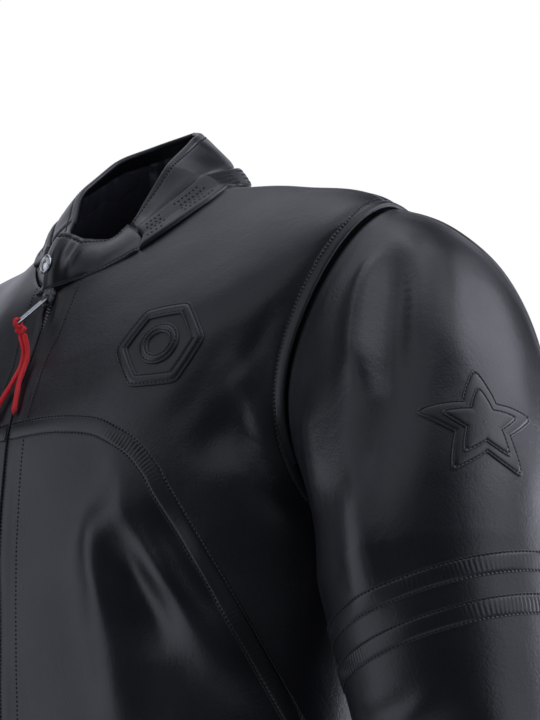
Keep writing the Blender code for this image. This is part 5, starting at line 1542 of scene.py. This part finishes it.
def lineMesh(name, lines):
    points, edges = [], []
    for line in lines:
        edges += [(len(points) + k, len(points) + k + 1) for k in range(len(line) - 1)]
        points += line.tolist()
    mesh = bpy.data.meshes.new(name)
    mesh.from_pydata(points, edges, [])
    return mesh


def pointMesh(name, points, ways):
    mesh = bpy.data.meshes.new(name)
    mesh.from_pydata([tuple(p) for p in points], [], [])
    storeVectors(mesh, "way", np.array(ways))
    return mesh


stitch = {"Pitch": 2.8 * mm, "Length": 1.55 * mm, "Width": 0.85 * mm, "Material": threadBlack}
stitchTree = makeStitchTree()
threads = {}
for host, lines in sewing.items():
    threads[host] = grow("stitches_" + host, stitchTree, lineMesh("rows", lines), stitch)
# the perforations are thin near-black discs on the pad: painted shade in place of open holes
holes = grow("perforations", makeHoleTree(), pointMesh("spots", holeSpots["points"], holeSpots["ways"]),
             {"Radius": pad["holeRadius"] * mm, "Depth": pad["holeDepth"] * mm, "Material": perforationShade})
print("sewn:", len(threads), "sets of stitches")

# Zip: a woven tape behind the fronts, and teeth from the hem up to the slider.
zipFit = {"across": (-12.0, -9.0, -6.0, -3.2, -2.4, 0.0, 2.4, 3.2, 6.0, 9.0, 12.0), "depth": 2.4, "thick": 1.2,
          "top": 0.978, "pitch": 1.27, "offset": 0.85, "teethDepth": 1.75}


def makeZip():
    along = np.linspace(0.0, 1.0, 260)
    x = np.array(zipFit["across"]) * mm
    turns = turnAt(x[None], along[:, None])
    grid = np.repeat(along[:, None], len(x), 1)
    skin, flatGrid = bodySkin(turns, grid), 0 * grid
    normal = unit(bodyNormals(flatGrid, grid) * (0, 1, 1))
    cordedEdge = 0.5 * hump((np.abs(x) / mm - 2.8), 0.6)
    outer = skin - normal * ((zipFit["depth"] - cordedEdge) * mm)[None, :, None]
    inner = skin - normal * (zipFit["depth"] + zipFit["thick"]) * mm
    uv = np.stack(np.broadcast_arrays(x[None], lengthsAlong(skin[:, len(x) // 2])[:, None]), -1)
    tape = wall("zip_tape_woven", outer, inner, (tapeCloth,), uv=uv)
    fine = np.linspace(0.004, zipFit["top"], 600)
    centre = bodySkin(0 * fine, fine)
    out = unit(bodyNormals(0 * fine, fine) * (0, 1, 1))
    centre = centre - out * zipFit["teethDepth"] * mm
    arc = lengthsAlong(centre)
    at = np.arange(0, arc[-1], zipFit["pitch"] * mm)
    spots = np.stack([np.interp(at, arc, centre[:, k]) for k in range(3)], 1)
    ways = unit(np.gradient(spots, axis=0))
    spots[:, 0] = np.where(np.arange(len(at)) % 2 == 0, 1, -1) * zipFit["offset"] * mm
    teeth = grow("zip_teeth", makeToothTree(), pointMesh("toothSpots", spots, ways), {"Material": darkSteel})
    return tape, teeth


tape, teeth = makeZip()
nodes["zip_slider"].data.materials.clear()
nodes["zip_slider"].data.materials.append(polishedSteel)
print("zip made")


# Tube with a rounded section along a path; it closes at both ends unless it runs in a ring.
def tube(name, path, radius, material, closed=False, flatten=1.0, sides=16):
    if closed:
        tangent = unit(np.roll(path, -1, 0) - np.roll(path, 1, 0))
    else:
        tangent = unit(np.gradient(path, axis=0))
    frameUp = np.array((1.0, 0.0, 0.0)) if closed or abs(tangent[0][0]) < 0.8 else np.array((0.0, 0.0, 1.0))
    first = unit(np.cross(tangent, frameUp))
    second = unit(np.cross(tangent, first))
    angle = np.linspace(0, 2 * math.pi, sides, endpoint=False)
    ring = np.cos(angle)[None, :, None] * first[:, None] * flatten \
        + np.sin(angle)[None, :, None] * second[:, None]
    points = path[:, None] + ring * np.asarray(radius)[:, None, None]
    count = len(path)
    faces = []
    for k in range(count if closed else count - 1):
        for i in range(sides):
            j, ahead = (i + 1) % sides, (k + 1) % count
            faces.append((k * sides + i, k * sides + j, ahead * sides + j, ahead * sides + i))
    if not closed:
        faces += [tuple(reversed(range(sides))), tuple(range((count - 1) * sides, count * sides))]
    mesh = bpy.data.meshes.new(name)
    mesh.from_pydata(points.reshape(-1, 3).tolist(), [], faces)
    layer = mesh.uv_layers.new(name="surface")
    arc = lengthsAlong(path)
    corner = np.empty(len(mesh.loops), np.int32)
    mesh.loops.foreach_get("vertex_index", corner)
    around = np.tile(np.arange(sides) / sides, count) * 2 * math.pi * 1.6 * mm
    flat = np.stack([around, np.repeat(arc, sides)], 1)
    layer.data.foreach_set("uv", flat[corner].astype(np.float32).ravel())
    mesh.materials.append(material)
    mesh.shade_smooth()
    return linkMesh(name, mesh)


# A cord on its route, a little uneven in thickness and tapered at its cut end.
def makeCord(side):
    path = smoothLine(cordRoutes[side], cord["points"])
    arc = lengthsAlong(path)
    fine = smoothLine(path, 120)
    run = lengthsAlong(fine)
    radius = np.full(len(fine), cord["diameter"] / 2) * (1 + 0.05 * np.sin(run / 0.0021))
    tip = (run[-1] - run) / mm
    radius = radius * (0.30 + 0.70 * smooth(tip / 3.5)) * (0.6 + 0.4 * smooth(run / mm / 0.8))
    radius = radius * cord["plump"]
    return tube("cord_" + side, fine, radius, redCord, flatten=cord["flatten"]), path, float(arc[-1])


# The pull: a long loop of steel wire through the slider's arch, leaning out from the chest.
pull = {"pivot": (0.0, -0.08477, -0.08166), "lean": 50.0, "length": 34.0, "half": 1.7, "wire": 0.95,
        "start": -1.2, "points": 64}
lean = math.radians(pull["lean"])
pullWay = np.array((0.0, -math.sin(lean), -math.cos(lean)))
pullSide = np.array((1.0, 0.0, 0.0))


def makePull():
    angle = np.linspace(0, 2 * math.pi, pull["points"], endpoint=False)
    half, middle = pull["half"], (pull["length"] - pull["start"]) / 2
    across = half * np.sign(np.cos(angle)) * np.abs(np.cos(angle)) ** 0.5
    down = np.sign(np.sin(angle)) * (middle - half) * np.abs(np.sin(angle)) ** 0.6 + half * np.sin(angle)
    place = pullSide * across[:, None] + pullWay * (down + middle + pull["start"])[:, None]
    radius = np.full(len(place), pull["wire"] * mm)
    path = np.array(pull["pivot"]) + place * mm
    return tube("zip_pull_loop", path, radius, polishedSteel, closed=True, sides=12)


# The cords' knot: two turns round the end of the pull, and an overhand knot under them.
knotShape = {"down": 32.2, "turns": (-0.9, 0.9), "spread": 0.6, "loop": 2.5, "loopCord": 1.05,
             "out": 5.2, "wide": 1.1, "tall": 0.9, "deep": 1.0, "cord": 1.35}


def makeKnot():
    way, side = pullWay, pullSide
    under = np.cross(side, way)
    bar = np.array(pull["pivot"]) + way * knotShape["down"] * mm
    angle = np.linspace(0, 2 * math.pi, 48, endpoint=False)
    circle = way[None] * np.cos(angle)[:, None] + under[None] * np.sin(angle)[:, None]
    pieces = []
    for offset in knotShape["turns"]:
        loop = bar + circle * knotShape["loop"] * mm + side * offset * knotShape["spread"] * mm
        radius = np.full(len(loop), knotShape["loopCord"] * mm)
        pieces.append(tube(f"loop{offset}", loop, radius, redCord, closed=True))
    t = np.linspace(0, 2 * math.pi, 90, endpoint=False)
    knot = (side[None] * (np.sin(t) + 2 * np.sin(2 * t))[:, None] * knotShape["wide"]
            + way[None] * (np.cos(t) - 2 * np.cos(2 * t))[:, None] * knotShape["tall"]
            - under[None] * np.sin(3 * t)[:, None] * knotShape["deep"])
    path = bar + (under * knotShape["out"] + knot) * mm
    radius = np.full(len(path), knotShape["cord"] * mm)
    pieces.append(tube("overhand", path, radius, redCord, closed=True, sides=14))
    bpy.ops.object.select_all(action="DESELECT")
    for piece in pieces:
        piece.select_set(True)
    bpy.context.view_layer.objects.active = pieces[0]
    bpy.ops.object.join()
    pieces[0].name = "cord_knot"
    return pieces[0]


cords = {side: makeCord(side) for side in cordRoutes}
knot, pullLoop = makeKnot(), makePull()
print("cords made:", {side: round(made[2], 4) for side, made in cords.items()})

# Which body each piece rides on; the part nodes that the pieces take the place of are hidden.
for entry in sheets:
    piece, node = entry["piece"], entry["node"]
    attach(piece, "jacket")
    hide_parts(node)
for piece in threads.values():
    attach(piece, "jacket")
for piece, node, slotName in ((snapCap, "collar_snap", "steel"), (tape, "zip_tape", "zip tape"),
                              (teeth, "zip_chain", "steel")):
    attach(piece, "jacket")
    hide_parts(node)
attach(holes, "jacket")
for entry in sheets:
    node = entry["node"]
    label = "left" if node.endswith("left") else "right"
    if node.startswith(("chest_band", "armhole_welt")):
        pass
    elif node.startswith("arm_band"):
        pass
    elif node.startswith(("sleeve_front", "sleeve_back")):
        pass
    else:
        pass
for side, (piece, path, length) in cords.items():
    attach(piece, "pull")
    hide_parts("pull_cord_" + side)
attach(pullLoop, "pull")
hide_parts("zip_pull")
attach(knot, "pull")
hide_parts("pull_knot")
print("pieces placed on their bodies")

# Studio: pale floor well below, large soft boxes to both sides and above, white only to the eye.
studio = {"floorLevel": -1.45, "floorSize": 9.0, "glow": 0.06, "reach": 2.4, "strength": 1.2,
          "tint": (0.86, 0.88, 1.0), "middle": (0.08, -0.02, -0.22)}
softboxes = {
    # azimuth, elevation, width, height, brightness
    "front left": (-40, 4, 2.2, 2.2, 0.93),
    "front top": (-12, 40, 2.4, 1.1, 0.55),
    "upper left": (-90, 62, 2.0, 1.3, 0.60),
    "top": (20, 84, 1.5, 2.4, 0.68),
    "left back": (-130, 20, 2.6, 2.2, 0.70),
    "right back low": (147, 2, 2.0, 1.8, 3.0),
    "right back high": (126, 46, 2.2, 1.4, 2.2),
    "right": (94, 16, 1.5, 1.9, 1.2),
    "into the collar": (80, 64, 1.1, 1.1, 1.0),
}


def makeStudio():
    size = studio["floorSize"] / 2
    mesh = bpy.data.meshes.new("floor")
    corners = [(-size, -size, 0), (size, -size, 0), (size, size, 0), (-size, size, 0)]
    mesh.from_pydata(corners, [], [(0, 1, 2, 3)])
    mesh.transform(Matrix.Translation((0, 0, studio["floorLevel"])))
    pale, _, shader = newMaterial("pale floor")
    shader.inputs["Base Color"].default_value = (0.82, 0.82, 0.82, 1)
    shader.inputs["Roughness"].default_value = 0.9
    mesh.materials.append(pale)
    linkMesh("floor", mesh)
    middle = Vector(studio["middle"])
    for name, (azimuth, elevation, width, height, brightness) in softboxes.items():
        light = bpy.data.lights.new(name, "AREA")
        light.shape, light.size, light.size_y = "RECTANGLE", width, height
        light.energy = math.pi * width * height * brightness * studio["strength"]
        light.color = studio["tint"]
        putLooking(name, light, middle + awayFrom(azimuth, elevation) * studio["reach"], middle)
    world = bpy.data.worlds.new("studio")
    bpy.context.scene.world = world
    world.use_nodes = True
    tree = world.node_tree
    tree.nodes.clear()
    seen = addNode(tree, "ShaderNodeBackground", {"Color": (1, 1, 1, 1), "Strength": 1.0}).outputs[0]
    dim = addNode(tree, "ShaderNodeBackground", {"Color": (0.9, 0.95, 1, 1),
                                                 "Strength": studio["glow"]}).outputs[0]
    eye = addNode(tree, "ShaderNodeLightPath").outputs["Is Camera Ray"]
    both = addNode(tree, "ShaderNodeMixShader", {0: eye, 1: dim, 2: seen}).outputs[0]
    addNode(tree, "ShaderNodeOutputWorld", {"Surface": both})
    bpy.context.scene.view_settings.view_transform = "Standard"


makeStudio()
